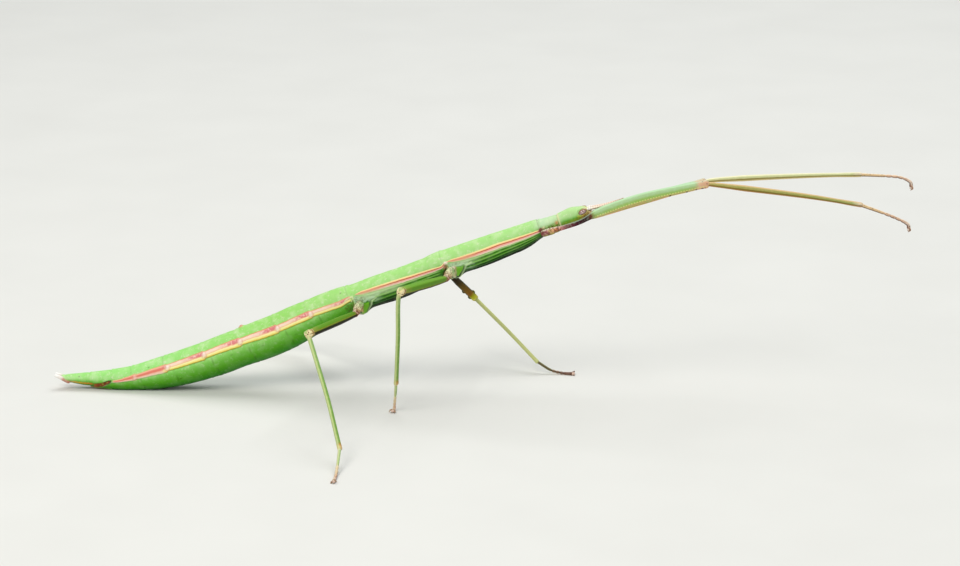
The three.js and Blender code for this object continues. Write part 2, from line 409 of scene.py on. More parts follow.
def place_piece(
    name: str, mesh: Mesh, finish: Material, nodes: Sequence[str]
) -> Piece:
    """Turns a mesh into a finished piece of the insect, in the frame and in metres.

    Args:
        name: The piece's name.
        mesh: Its shape in the insect's own place. It is freed.
        finish: Its material.
        nodes: The frame's nodes that the piece stands for.

    Returns:
        The piece.
    """
    bmesh.ops.translate(mesh, vec=-ORIGIN, verts=mesh.verts)
    bmesh.ops.scale(mesh, vec=Vector((METRE, METRE, METRE)), verts=mesh.verts)
    for face in mesh.faces:
        face.smooth = True
    data = bpy.data.meshes.new(name)
    mesh.to_mesh(data)
    mesh.free()
    data.materials.append(finish)
    piece = bpy.data.objects.new(name, data)
    bpy.context.scene.collection.objects.link(piece)
    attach(piece, "root")
    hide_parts(*nodes)
    LOG.info("%s: %d faces for %s", name, len(data.polygons), ", ".join(nodes))
    return piece


# ---- Finishes ----


class Graph:
    """Shader nodes of one finish, added and joined one by one."""

    COLOUR_INPUTS = (6, 7)  # a Mix node's two colour sockets
    COLOUR_OUTPUT = 2

    def __init__(
        self, name: str, roughness: float, coat: float = 0.0, gloss: float = 0.5
    ) -> None:
        """Starts a material.

        Args:
            name: The material's name.
            roughness: The shader's roughness.
            coat: Weight of its clear coat.
            gloss: How strongly its surface reflects.
        """
        self.material = bpy.data.materials.new(name)
        self.material.use_nodes = True
        self.tree = self.material.node_tree
        self.shader = self.tree.nodes["Principled BSDF"]
        self.shader.inputs["Roughness"].default_value = roughness
        self.shader.inputs["Coat Weight"].default_value = coat
        self.shader.inputs["Specular IOR Level"].default_value = gloss
        self.place = self.add("TexCoord").outputs["Object"]

    def add(self, kind: str, **inputs: object) -> bpy.types.Node:
        """Adds a node and feeds it.

        Args:
            kind: The node's kind, without its first word.
            inputs: Values for its inputs, by their names with _ for a space.

        Returns:
            The node.
        """
        node = self.tree.nodes.new("ShaderNode" + kind)
        for name, value in inputs.items():
            self.feed(node.inputs[name.replace("_", " ")], value)
        return node

    def feed(self, socket: Socket, value: object) -> None:
        """Joins a socket to another one, or sets its own value.

        Args:
            socket: The socket.
            value: Another socket, or a plain value.
        """
        if isinstance(value, Socket):
            self.tree.links.new(value, socket)
        else:
            socket.default_value = value

    def paint(self, socket: Socket, colour: object) -> None:
        """Joins a colour socket to another one, or gives it a screen colour."""
        plain = colour if isinstance(colour, Socket) else (*linear(colour), 1.0)
        self.feed(socket, plain)

    def mark(self, name: str) -> Socket:
        """Reads one of the piece's marks.

        Args:
            name: The mark's name.

        Returns:
            The mark's values.
        """
        node = self.add("Attribute")
        node.attribute_name = name
        return node.outputs["Fac"]

    def sum(self, kind: str, first: object, second: object) -> Socket:
        """One sum of two values, of a Math node's kinds.

        Args:
            kind: A Math node's operation.
            first: The first value.
            second: The second one.

        Returns:
            The result.
        """
        node = self.add("Math")
        node.operation = kind
        self.feed(node.inputs[0], first)
        self.feed(node.inputs[1], second)
        return node.outputs[0]

    def times(self, first: object, second: object) -> Socket:
        """The product of two values."""
        return self.sum("MULTIPLY", first, second)

    def plus(self, first: object, second: object) -> Socket:
        """The sum of two values."""
        return self.sum("ADD", first, second)

    def less(self, first: object, second: object) -> Socket:
        """The first value without the second."""
        return self.sum("SUBTRACT", first, second)

    def rise(self, value: object, low: float, high: float) -> Socket:
        """A smooth step from 0 at low to 1 at high, or down where high is the lower.

        Args:
            value: What is read.
            low: Where the step starts.
            high: Where it ends.

        Returns:
            The step.
        """
        start, end = (0.0, 1.0) if low < high else (1.0, 0.0)
        low, high = sorted((low, high))
        node = self.add(
            "MapRange", Value=value, From_Min=low, From_Max=high, To_Min=start, To_Max=end
        )
        node.interpolation_type = "SMOOTHSTEP"
        return node.outputs["Result"]

    def line(self, value: object, centre: float, half: float) -> Socket:
        """A soft line: 1 where the value is at the centre, 0 from half away on."""
        away = self.sum("ABSOLUTE", self.less(value, centre), 0.0)
        return self.rise(away, half, half * 0.35)

    def mix(self, share: object, under: object, over: object) -> Socket:
        """Lays one colour over another by a share from 0 to 1.

        Args:
            share: How much of the upper colour shows.
            under: The lower colour.
            over: The upper colour.

        Returns:
            The colour.
        """
        node = self.add("Mix")
        node.data_type = "RGBA"
        self.feed(node.inputs[0], share)
        for number, colour in zip(self.COLOUR_INPUTS, (under, over)):
            self.paint(node.inputs[number], colour)
        return node.outputs[self.COLOUR_OUTPUT]

    def ramp(self, value: object, low: float, high: float, stops: Stops) -> Socket:
        """A run of colours between two values.

        Args:
            value: What is read.
            low: The value at the run's start.
            high: The value at its end.
            stops: Rows of (value, colour), in rising order.

        Returns:
            The colour.
        """
        share = self.add("MapRange", Value=value, From_Min=low, From_Max=high)
        node = self.add("ValToRGB")
        self.feed(node.inputs[0], share.outputs["Result"])
        marks = node.color_ramp.elements
        while len(marks) < len(stops):
            marks.new(1.0)
        while len(marks) > len(stops):
            marks.remove(marks[-1])
        for element, (spot, colour) in zip(marks, stops):
            element.position = (spot - low) / (high - low)
            element.color = (*linear(colour), 1.0)
        return node.outputs["Color"]

    def grain(self, size: float, detail: float = 3.0) -> Socket:
        """Noise with lumps of a size in millimetres, from 0 to 1."""
        node = self.add("TexNoise", Vector=self.place, Scale=1 / (size * METRE), Detail=detail)
        return node.outputs[0]

    def spots(self, size: float, share: float) -> Socket:
        """Small round spots, one to a cell of a size in millimetres, 1 inside and 0 outside."""
        node = self.add("TexVoronoi", Vector=self.place, Scale=1 / (size * METRE))
        return self.rise(node.outputs["Distance"], share, share * 0.6)

    def bump(self, height: object, depth: float, strength: float = 1.0) -> None:
        """Adds relief of a depth in millimetres on top of what the shader has.

        Args:
            height: The relief's height, from 0 to 1.
            depth: Its depth at a height of 1.
            strength: How much of it shows.
        """
        node = self.add("Bump", Height=height, Distance=depth * METRE, Strength=strength)
        normal = self.shader.inputs["Normal"]
        if normal.is_linked:
            self.feed(node.inputs["Normal"], normal.links[0].from_socket)
        self.feed(normal, node.outputs["Normal"])

    def done(self, colour: object) -> Material:
        """Gives the shader its colour and returns the material."""
        self.paint(self.shader.inputs["Base Color"], colour)
        return self.material


@dataclass(frozen=True)
class SkinFinish:
    """The body's green skin: stripe, knobs, plates, pale ridges, painted highlights on the joints' lips,
    blushes and specks.

    Flanks are read by height, from the underside (-1) to the back (1), lengths by the distance
    from the tail's tip, and stripes by the place across them, from -1 to 1.
    """

    # Flank colours by height: the deep green and near black below are partly the underside's own colour,
    # partly painted shade.
    flank: Stops = (
        (-1, 0x1A6004), (-0.72, 0x32860A), (-0.35, 0x54A21E), (0.1, 0x76BE4C), (0.45, 0x90D466),
        (1, 0xA0DC74),
    )
    thorax_flank_and_shade: Stops = (
        (-1, 0x041202), (-0.84, 0x082202), (-0.66, 0x1E5408), (-0.35, 0x387A16), (0, 0x589C32),
        (0.3, 0x7CC056), (1, 0xA0DC7C),
    )
    length: Stops = (
        (0, 0x98D876), (12, 0x96DA76), (30, 0x96D269), (40, 0x9ED576), (52, 0xA2D77C), (65, 0xA4D882),
        (66.2, 0xB8D8AA), (68, 0xB6D6A2), (68.9, 0xAED88E), (71.5, 0xB0D88E), (72.5, 0xC2C27C),
    )
    abdomen_band: Stops = (
        (-1.2, 0x5C740E), (-1.02, 0x96861A), (-0.86, 0xECD45C), (-0.6, 0xF6EC92), (-0.28, 0xF8EEAC),
        (-0.12, 0xF0BC88), (0.08, 0xF7D8BE), (0.55, 0xF9DCC8), (0.76, 0xF0BEA0), (0.92, 0xCE8458),
        (1.1, 0xACB864),
    )
    tail_band: Stops = (
        (-1.2, 0x6E7828), (-0.92, 0xF6DAC2), (-0.5, 0xF2BEA6), (-0.1, 0xE27A68), (0.35, 0xE68670),
        (0.7, 0xF4BA9E), (0.92, 0xDE9C70), (1.1, 0xB2BE6E),
    )
    thorax_band: Stops = (
        (-1.2, 0x60963C), (-1.02, 0xE6D6B4), (-0.76, 0xFAD8C6), (-0.3, 0xF3B0A0), (-0.02, 0xE4806A),
        (0.1, 0x9E3220), (0.2, 0xC45C3E), (0.33, 0xF4B280), (0.54, 0xFCDC9A), (0.9, 0xF8E8A4),
        (1.15, 0xAAD470),
    )
    faded_band: Stops = (
        (-1.2, 0x6EA048), (-0.9, 0xEECCA0), (-0.45, 0xECA082), (0.1, 0xE4886C), (0.5, 0xF2BE8C),
        (0.9, 0xF8E29E), (1.15, 0x9ECE62),
    )
    heart: Colour = 0xDA7076  # the pink in the middle of each run of the stripe
    blush: Stops = (
        (0, 0xC69678), (1.1, 0xC49664), (2.2, 0xE0A032), (4, 0xC4702C), (4.8, 0x843E1E), (7.2, 0x9E4E32),
        (9, 0xD68C60), (25, 0xD69680), (37, 0xD88C60), (39, 0xDEAA8C), (51, 0xD6A080), (64.8, 0xC4605A),
        (65.9, 0x74343E), (66.6, 0xE2967C), (68.3, 0xDC8E50), (68.5, 0x94B632), (70.8, 0xA0B438),
        (71.6, 0xC4A648), (72.3, 0xD6B468),
    )
    gloss: float = 0.09  # how strongly its surface reflects
    knob: Colour = 0xFBE2D6
    # pale ridge lines, also used for painted highlights along the joints' raised lips
    ridge: Colour = 0xBEDAA0
    cream: Colour = 0xE4E4AC
    membrane: Colour = 0xBAD8B2
    plate: Stops = (
        (0, 0x3C7814), (0.6, 0x40820E), (0.95, 0x60AC1E), (1.2, 0x96C446),
    )
    dark: Colour = 0x302E0E
    wrinkle: Colour = 0x683E22
    fleck: Colour = 0xD8E8BA
    bloom: Colour = 0xE2E2C4
    # Pleural ridge colours, counted downward: pale ridges, dark grooves between them, and a near-black
    # bottom that is painted shade.
    pleura_and_shade: Stops = (
        (0.2, 0x96BE68), (0.38, 0x80B654), (0.5, 0xB2D88C), (0.6, 0x60A628), (0.73, 0x1C5406),
        (0.84, 0x569E20), (0.96, 0x96CA64), (1.06, 0x489016), (1.2, 0x144202), (1.32, 0x3C800E),
        (1.46, 0x76B246), (1.58, 0x2A6808), (1.74, 0x0E3402), (1.9, 0x2C680E), (2.06, 0x0C2C02),
        (2.4, 0x041202),
    )

    LENGTH = (0.0, 72.5)  # the tail's tip and the nose
    BAND = (-1.2, 1.2)  # places across the stripe at which its colours start and end
    THORAX_END = 66.2  # where the flank's colours turn back to the light ones
    SALMON_END = (13.3, 14.2)  # where the stripe turns from salmon to pink and cream

    def make(self) -> Material:
        """Builds the material.

        Returns:
            The material.
        """
        graph = Graph("insect_skin", roughness=0.46, coat=0.03, gloss=self.gloss)
        colour = self._ground(graph)
        uneven = self._uneven(graph)
        away = graph.sum("ABSOLUTE", uneven, 0.0)
        shown = graph.times(graph.rise(away, 1.16, 0.98), graph.mark("stripe"))
        colour = graph.mix(shown, colour, self._stripe(graph, uneven))
        colour = graph.mix(graph.mark("membrane"), colour, self.membrane)
        plate = graph.mark("plate")
        colour = graph.mix(plate, colour, graph.ramp(plate, 0.0, 1.2, self.plate))
        blotch = graph.rise(graph.grain(0.3, 3.0), 0.3, 0.55)
        blush = graph.times(graph.mark("blush"), graph.plus(blotch, 0.4))
        blush = graph.sum("MINIMUM", blush, 1.0)
        colour = graph.mix(blush, colour, graph.ramp(graph.mark("along"), *self.LENGTH, self.blush))
        pale = {"ridge": self.ridge, "cream": self.cream, "knob": self.knob}
        for name, tint in pale.items():
            colour = graph.mix(graph.mark(name), colour, tint)
        folds = graph.times(graph.line(graph.grain(0.42, 3.0), 0.5, 0.05), graph.mark("fold"))
        folds = graph.sum("MAXIMUM", folds, graph.mark("wrinkle"))
        colour = graph.mix(graph.times(folds, 0.85), colour, self.wrinkle)
        colour = graph.mix(graph.mark("dark"), colour, self.dark)
        graph.bump(graph.grain(0.45, 4.0), 0.04, 0.5)
        graph.bump(graph.grain(0.09, 2.0), 0.01, 0.5)
        graph.bump(graph.less(1.0, folds), 0.06, 0.8)
        return graph.done(colour)

    def _ground(self, graph: Graph) -> Socket:
        """The green ground, lighter on the back and darker below, partly painted shade, with soft clouds
        and fine dark grain.

        Args:
            graph: The finish's nodes.

        Returns:
            The colour.
        """
        along = graph.mark("along")
        keel = graph.mark("keel")
        thorax = graph.rise(along, self.THORAX_END + 0.5, self.THORAX_END)
        thorax = graph.times(graph.mark("thorax"), thorax)
        # Both flank ramps darken towards the underside: partly its own deeper green, partly painted
        # shade.
        side = graph.mix(thorax, graph.ramp(keel, -1.0, 1.0, self.flank),
                         graph.ramp(keel, -1.0, 1.0, self.thorax_flank_and_shade))
        back = graph.ramp(along, *self.LENGTH, self.length)
        ground = graph.mix(graph.rise(keel, -0.1, 0.55), side, back)
        # pleural ridge colours, whose near-black bottom is painted shade
        fan = graph.ramp(graph.mark("fan"), 0.2, 2.5, self.pleura_and_shade)
        ground = graph.mix(graph.times(graph.mark("fanned"), 0.8), ground, fan)
        lifted = graph.plus(graph.times(graph.rise(keel, -0.4, 0.6), 0.3), 0.05)
        cloud = graph.rise(graph.grain(1.1, 4.0), 0.42, 0.7)
        ground = graph.mix(graph.times(cloud, lifted), ground, self.fleck)
        mottle = graph.rise(graph.grain(0.42, 3.0), 0.56, 0.68)
        ground = graph.mix(graph.times(mottle, lifted), ground, self.bloom)
        fine = graph.rise(graph.grain(0.16, 2.0), 0.62, 0.72)
        return graph.mix(graph.times(fine, 0.1), ground, self.dark)

    def _uneven(self, graph: Graph) -> Socket:
        """The place across the stripe, with a slightly ragged edge."""
        wobble = graph.less(graph.grain(0.5, 3.0), 0.5)
        return graph.plus(graph.mark("band"), graph.times(wobble, 0.3))

    def _stripe(self, graph: Graph, uneven: Socket) -> Socket:
        """The stripe's colours: salmon at the tail, pink over cream, red lined on the thorax.

        Args:
            graph: The finish's nodes.
            uneven: The place across the stripe.

        Returns:
            The colour.
        """
        along = graph.mark("along")
        phase = graph.mark("phase")
        abdomen = graph.ramp(uneven, *self.BAND, self.abdomen_band)
        heart = graph.times(graph.rise(phase, 0.3, 0.95), graph.line(uneven, 0.36, 0.62))
        streak = graph.plus(graph.rise(graph.grain(0.3, 3.0), 0.35, 0.6), 0.35)
        heart = graph.sum("MINIMUM", graph.times(heart, streak), 0.9)
        abdomen = graph.mix(heart, abdomen, self.heart)
        abdomen = graph.mix(graph.rise(along, *self.SALMON_END),
                            graph.ramp(uneven, *self.BAND, self.tail_band), abdomen)
        core = graph.ramp(uneven, *self.BAND, self.thorax_band)
        faded = graph.ramp(uneven, *self.BAND, self.faded_band)
        breaks = graph.less(phase, graph.times(graph.grain(1.6, 2.0), 0.25))
        thorax = graph.mix(graph.rise(breaks, 0.02, 0.28), faded, core)
        return graph.mix(graph.mark("thorax"), abdomen, thorax)


@dataclass(frozen=True)
class LimbFinish:
    """The hard skin of one kind of leg piece.

    Places round a piece run from its upper edge (1) to its lower edge (-1).

    Attributes:
        name: The material's name.
        ground: Colours along the piece, by its share.
        crest: Colour of the line along its top.
        edge: Colour of the dark line along its lower part; on the walking femurs that line is painted
            shade.
        belly: Colours below that line, none where the line runs on to the very edge.
        upper: Colour of the upper half, None where it is like the lower one.
        trim: Colour of the dotted line above the dark one.
        speckle: Colour of its spots.
        edge_span: Where the dark line starts, where it is full and where it ends.
        crested: How strongly the crest shows.
        edged: How strongly the dark line shows.
        trimmed: How strongly the dotted line shows.
        trim_level: Where the dotted line runs.
        speckled: How strongly the spots show in the middle of the piece.
        end_spots: How strongly they show near its two ends.
        creased: How strongly fine brown creases show.
        nicks: Shares at which a small black nick breaks the lower edge.
        nick: Half a nick's length, as a share of the piece.
        nick_colour: Colour of the nicks.
        gloss: How strongly its surface reflects.
        base: Share up to which the piece has neither dotted line nor dark line.
        tip: Share from which the dark line is missing.
    """

    name: str
    ground: Stops
    crest: Colour = 0xE2E0B0
    edge: Colour = 0x704E24
    belly: Stops = ()
    upper: Colour | None = None
    trim: Colour = 0xDED884
    speckle: Colour = 0x462C1A
    edge_span: Triple = (-0.5, -0.72, -1.1)
    crested: float = 0.6
    edged: float = 0.8
    trimmed: float = 0.0
    trim_level: float = -0.3
    speckled: float = 0.1
    end_spots: float = 0.5
    creased: float = 0.0
    nicks: Sequence[float] = ()
    nick: float = 0.008
    nick_colour: Colour = 0x18100A
    gloss: float = 0.28
    base: float = 0.0
    tip: float = 1.1

    DOT_STEP = 0.36  # distance between two dots of the dotted line
    COAT = 0.03
    MATT = 0.1  # a gloss up to which the piece has no clear coat

    def make(self) -> Material:
        """Builds the material.

        Returns:
            The material.
        """
        coat = self.COAT if self.gloss > self.MATT else 0.0
        graph = Graph(self.name, roughness=0.5, coat=coat, gloss=self.gloss)
        keel = graph.mark("keel")
        share = graph.mark("share")
        wobble = graph.less(graph.grain(0.7, 3.0), 0.5)
        shifted = graph.plus(share, graph.times(wobble, 0.04))
        colour = graph.ramp(shifted, 0.0, 1.0, self.ground)
        if self.upper is not None:
            grown = graph.rise(share, self.base, self.base + 0.03)
            high = graph.times(graph.rise(keel, -0.15, 0.5), grown)
            high = graph.times(high, graph.rise(share, 0.96, 0.92))
            colour = graph.mix(graph.times(high, 0.8), colour, self.upper)
        streaks = graph.rise(graph.grain(0.35, 4.0), 0.45, 0.75)
        colour = graph.mix(graph.times(streaks, 0.22), colour, self.crest)
        level = graph.plus(keel, graph.times(wobble, 0.2))
        top = graph.rise(level, 0.62, 0.95)
        colour = graph.mix(graph.times(top, self.crested), colour, self.crest)
        grown = graph.rise(share, self.base - 0.01, self.base + 0.03)
        turns = graph.times(graph.mark("reach"), math.tau / self.DOT_STEP)
        beads = graph.sum("SINE", turns, 0.0)
        dots = graph.times(graph.rise(beads, -0.9, 0.6), graph.line(keel, self.trim_level, 0.16))
        dots = graph.times(graph.times(dots, grown), self.trimmed)
        dashes = graph.times(graph.line(keel, self.trim_level - 0.16, 0.13), grown)
        dashes = graph.times(dashes, self.trimmed * 0.7)
        colour = graph.mix(dashes, colour, self.edge)
        colour = graph.mix(dots, colour, self.trim)
        # The dark lower line or band; on the walking femurs it is painted shade.
        start, full, end = self.edge_span
        low = graph.rise(level, start, full)
        if self.belly:
            under = graph.ramp(shifted, 0.0, 1.0, self.belly)
            colour = graph.mix(graph.rise(level, end + 0.08, end - 0.08), colour, under)
            low = graph.times(low, graph.rise(level, end - 0.08, end + 0.08))
        low = graph.times(low, grown)
        low = graph.times(low, graph.rise(share, self.tip + 0.02, self.tip - 0.02))
        colour = graph.mix(graph.times(low, self.edged), colour, self.edge)
        ends = graph.rise(graph.sum("ABSOLUTE", graph.less(share, 0.5), 0.0), 0.4, 0.5)
        amount = graph.times(ends, self.end_spots - self.speckled)
        amount = graph.plus(amount, self.speckled)
        spots = graph.times(graph.spots(0.36, 0.3), amount)
        colour = graph.mix(spots, colour, self.speckle)
        if self.creased:
            folds = graph.line(graph.grain(0.5, 3.0), 0.5, 0.06)
            colour = graph.mix(graph.times(folds, self.creased), colour, self.speckle)
            graph.bump(graph.less(1.0, folds), 0.05, 0.8)
        lower = graph.rise(keel, -0.55, -0.66)
        for nick in self.nicks:
            mark = graph.times(graph.line(share, nick, self.nick), lower)
            colour = graph.mix(mark, colour, self.nick_colour)
        graph.bump(graph.grain(0.22, 3.0), 0.025, 0.6)
        return graph.done(colour)


@dataclass(frozen=True)
class FeelerFinish:
    """Pink segmented feelers, brown below, partly painted shade, and greyer towards the tip."""

    ground: Stops = (
        (0, 0xFCF8F0), (0.09, 0xFAEEDC), (0.2, 0xF6DEC8), (0.62, 0xEACEB4), (0.8, 0xD6BEA4),
        (1, 0xBAA688),
    )
    # brown underside, partly the feeler's own colour and partly painted shade
    edge: Colour = 0x8C543C
    ring: Colour = 0x70544C

    RING_STEP = 0.3  # length of one small piece of the feeler

    def make(self) -> Material:
        """Builds the material.

        Returns:
            The material.
        """
        graph = Graph("feeler_skin", roughness=0.5)
        colour = graph.ramp(graph.mark("share"), 0.0, 1.0, self.ground)
        # darker below: partly the feeler's own brown, partly painted shade
        low = graph.rise(graph.mark("keel"), 0.15, -0.45)
        colour = graph.mix(graph.times(low, 0.8), colour, self.edge)
        turns = graph.times(graph.mark("reach"), math.tau / self.RING_STEP)
        joints = graph.rise(graph.sum("SINE", turns, 0.0), 0.72, 1.0)
        colour = graph.mix(graph.times(joints, 0.45), colour, self.ring)
        graph.bump(graph.grain(0.1, 2.0), 0.012, 0.5)
        return graph.done(colour)


@dataclass(frozen=True)
class EyeFinish:
    """A faceted eye: brown with pale streaks inside a darker ring."""

    ground: Stops = (
        (0, 0xCEB2AC), (0.35, 0xAA7A74), (0.6, 0x885850), (0.85, 0x805036), (1, 0xAC8446),
    )
    streak: Colour = 0xF0E2DC
    pupil: Colour = 0x603834

    BARS = 13.0  # how closely the pale streaks follow each other
    FACET = 0.045  # size of a facet

    def make(self) -> Material:
        """Builds the material.

        Returns:
            The material.
        """
        graph = Graph("eye_facets", roughness=0.22, coat=0.6)
        wobble = graph.less(graph.grain(0.35, 3.0), 0.5)
        ring = graph.plus(graph.mark("ring"), graph.times(wobble, 0.5))
        colour = graph.ramp(ring, 0.0, 1.0, self.ground)
        slant = graph.plus(graph.mark("slant"), graph.times(wobble, 0.4))
        bars = graph.rise(graph.sum("SINE", graph.times(slant, self.BARS), 0.0), 0.2, 0.9)
        inside = graph.rise(graph.mark("ring"), 0.85, 0.55)
        colour = graph.mix(graph.times(bars, graph.times(inside, 0.8)), colour, self.streak)
        colour = graph.mix(graph.rise(graph.grain(0.25, 2.0), 0.6, 0.7), colour, self.pupil)
        facets = graph.add("TexVoronoi", Vector=graph.place, Scale=1 / (self.FACET * METRE))
        graph.bump(facets.outputs["Distance"], -0.01, 0.6)
        return graph.done(colour)


@dataclass(frozen=True)
class FloorFinish:
    """A pale matt studio floor with the faintest unevenness."""

    light: Colour = 0xDEDDD7
    deep: Colour = 0xD7D6D0

    def make(self) -> Material:
        """Builds the material."""
        graph = Graph("studio_floor", roughness=0.85)
        return graph.done(graph.mix(graph.grain(18.0, 2.0), self.light, self.deep))


# ---- The body ----


@dataclass(frozen=True)
class Segment:
    """One stretch of the body: the length and slope of its axis and its full size at its rear.

    Girth makes it slimmer than its neighbours where they meet, and belly is how far its underside
    bulges down at the middle.
    """

    name: str
    length: float
    slope: float
    tall: float
    wide: float
    girth: float = 1.0
    belly: float = 0.0


@dataclass(frozen=True)
class Patch:
    """A convex patch of skin near a hip.

    Attributes:
        mark: The mark that it adds to.
        strength: How strongly.
        height: How far it stands out, in millimetres.
        corners: Its corners, in front of the segment's rear and beside the side line.
        rim: How strongly a pale line runs round it.
    """

    mark: str
    strength: float
    height: float
    corners: Table
    rim: float = 0.0


@dataclass(frozen=True)
class Stroke:
    """A thin line on the skin near a hip, with points given like a patch's corners."""

    mark: str
    strength: float
    height: float
    width: float
    points: Table


HIND_HIP = (
    Patch("membrane", 0.85, -0.06, ((0.62, -0.15), (1.6, -0.3), (2.5, -0.75), (2.4, -1.1), (1.9, -1.35),
        (0.95, -1.15), (0.6, -0.8))),
    Patch("fold", 0.55, 0.0, ((0.7, -0.3), (1.6, -0.45), (2.3, -0.9), (1.6, -1.1), (0.8, -0.9))),
    Patch("plate", 0.45, 0.04, ((-0.9, -0.7), (-0.5, -0.55), (0.3, -0.55), (0.2, -1.0), (-0.1, -1.6),
        (-0.7, -1.7))),
    Patch("fold", 0.7, 0.0, ((-0.8, -0.7), (-0.5, -0.6), (0.3, -0.6), (0.2, -1.0), (-0.1, -1.5),
        (-0.7, -1.6))),
    Patch("cream", 0.75, 0.08, ((0.25, -1.15), (1.1, -1.2), (1.0, -1.9), (0.5, -2.6), (0.0, -2.6))),
    Patch("membrane", 0.5, 0.0, ((2.0, -0.4), (4.0, -0.35), (4.6, -0.6), (2.4, -1.3))),
    Patch("plate", 1.1, 0.14, ((1.25, -1.3), (2.45, -1.42), (2.2, -2.1), (1.5, -2.75), (0.75, -2.95),
        (0.9, -2.1))),
    Stroke("dark", 0.4, -0.03, 0.14, ((2.5, -1.5), (2.2, -2.15), (1.5, -2.8))),
    Stroke("cream", 1.0, 0.06, 0.085, ((-0.5, -0.1), (-0.4, 0.06), (0.15, 0.1), (0.58, 0.08),
        (0.64, -0.25), (0.3, -0.4))),
    Stroke("dark", 0.5, -0.04, 0.05, ((-0.6, -0.42), (-0.2, -0.38), (0.3, -0.5))),
    Stroke("wrinkle", 0.85, -0.06, 0.07, ((0.5, -0.35), (0.42, -0.8), (0.09, -1.48))),
    Stroke("cream", 0.8, 0.05, 0.06, ((0.62, -0.75), (0.35, -1.2), (0.2, -1.7))),
    Stroke("ridge", 0.9, 0.09, 0.11, ((3.4, -1.15), (2.75, -1.4), (2.45, -2.0), (1.5, -3.0),
        (0.42, -3.15))),
    Stroke("wrinkle", 0.9, -0.03, 0.12, ((0.62, -1.08), (0.76, -1.08))),
    Stroke("wrinkle", 0.7, -0.05, 0.09, ((0.95, -1.6), (0.85, -2.3))),
    Stroke("blush", 0.75, 0.0, 0.2, ((1.2, -1.6), (1.0, -2.3))),
)
MID_HIP = (
    Patch("membrane", 0.85, -0.06, ((0.7, -0.3), (1.7, -0.26), (2.6, -0.42), (2.8, -0.8), (1.7, -0.92),
        (0.7, -0.88))),
    Patch("fold", 0.5, 0.0, ((0.8, -0.4), (1.7, -0.36), (2.5, -0.5), (1.7, -0.8), (0.8, -0.78))),
    Patch("blush", 0.75, 0.05, ((0.02, 0.1), (0.3, 0.05), (0.75, -0.4), (0.55, -0.75), (0.05, -0.45))),
    Patch("fold", 0.8, 0.0, ((0.02, 0.1), (0.3, 0.05), (0.75, -0.4), (0.55, -0.75), (0.05, -0.45))),
    Patch("cream", 0.7, 0.08, ((0.95, -1.0), (1.5, -0.95), (1.4, -1.5), (1.05, -2.5), (0.7, -2.8),
        (0.7, -1.8)), rim=0.4),
    Patch("membrane", 0.4, 0.0, ((2.2, -0.35), (3.4, -0.3), (3.8, -0.5), (2.7, -1.0))),
    Patch("plate", 1.1, 0.14, ((1.5, -0.86), (2.6, -1.0), (2.2, -1.65), (1.4, -2.45), (1.15, -2.3),
        (1.25, -1.5))),
    Stroke("dark", 0.4, -0.03, 0.14, ((2.65, -1.05), (2.25, -1.7), (1.5, -2.5))),
    Stroke("blush", 0.5, 0.0, 0.16, ((1.45, -0.95), (1.2, -1.7))),
    Stroke("knob", 1.0, 0.12, 0.14, ((0.4, 0.08), (0.66, -0.12))),
    Stroke("knob", 0.9, 0.08, 0.09, ((1.22, -0.82), (1.34, -0.98))),
    Stroke("wrinkle", 1.0, -0.09, 0.1, ((0.42, -0.52), (0.1, -0.75), (-0.2, -0.95))),
    Stroke("dark", 0.75, 0.0, 0.06, ((0.36, -0.62), (-0.1, -0.9))),
    Stroke("wrinkle", 0.95, -0.07, 0.07, ((0.6, -0.86), (0.8, -0.92), (1.06, -1.08))),
    Stroke("cream", 0.85, 0.05, 0.06, ((0.5, -0.7), (0.75, -0.78), (1.1, -0.9))),
    Stroke("ridge", 0.9, 0.09, 0.11, ((3.6, -0.85), (2.85, -1.0), (2.5, -1.5), (1.6, -2.75),
        (0.44, -3.0))),
    Stroke("wrinkle", 0.6, -0.04, 0.06, ((1.5, -1.0), (1.25, -1.7), (1.05, -2.3))),
)
HIPS = {"metathorax": HIND_HIP, "mesothorax": MID_HIP}


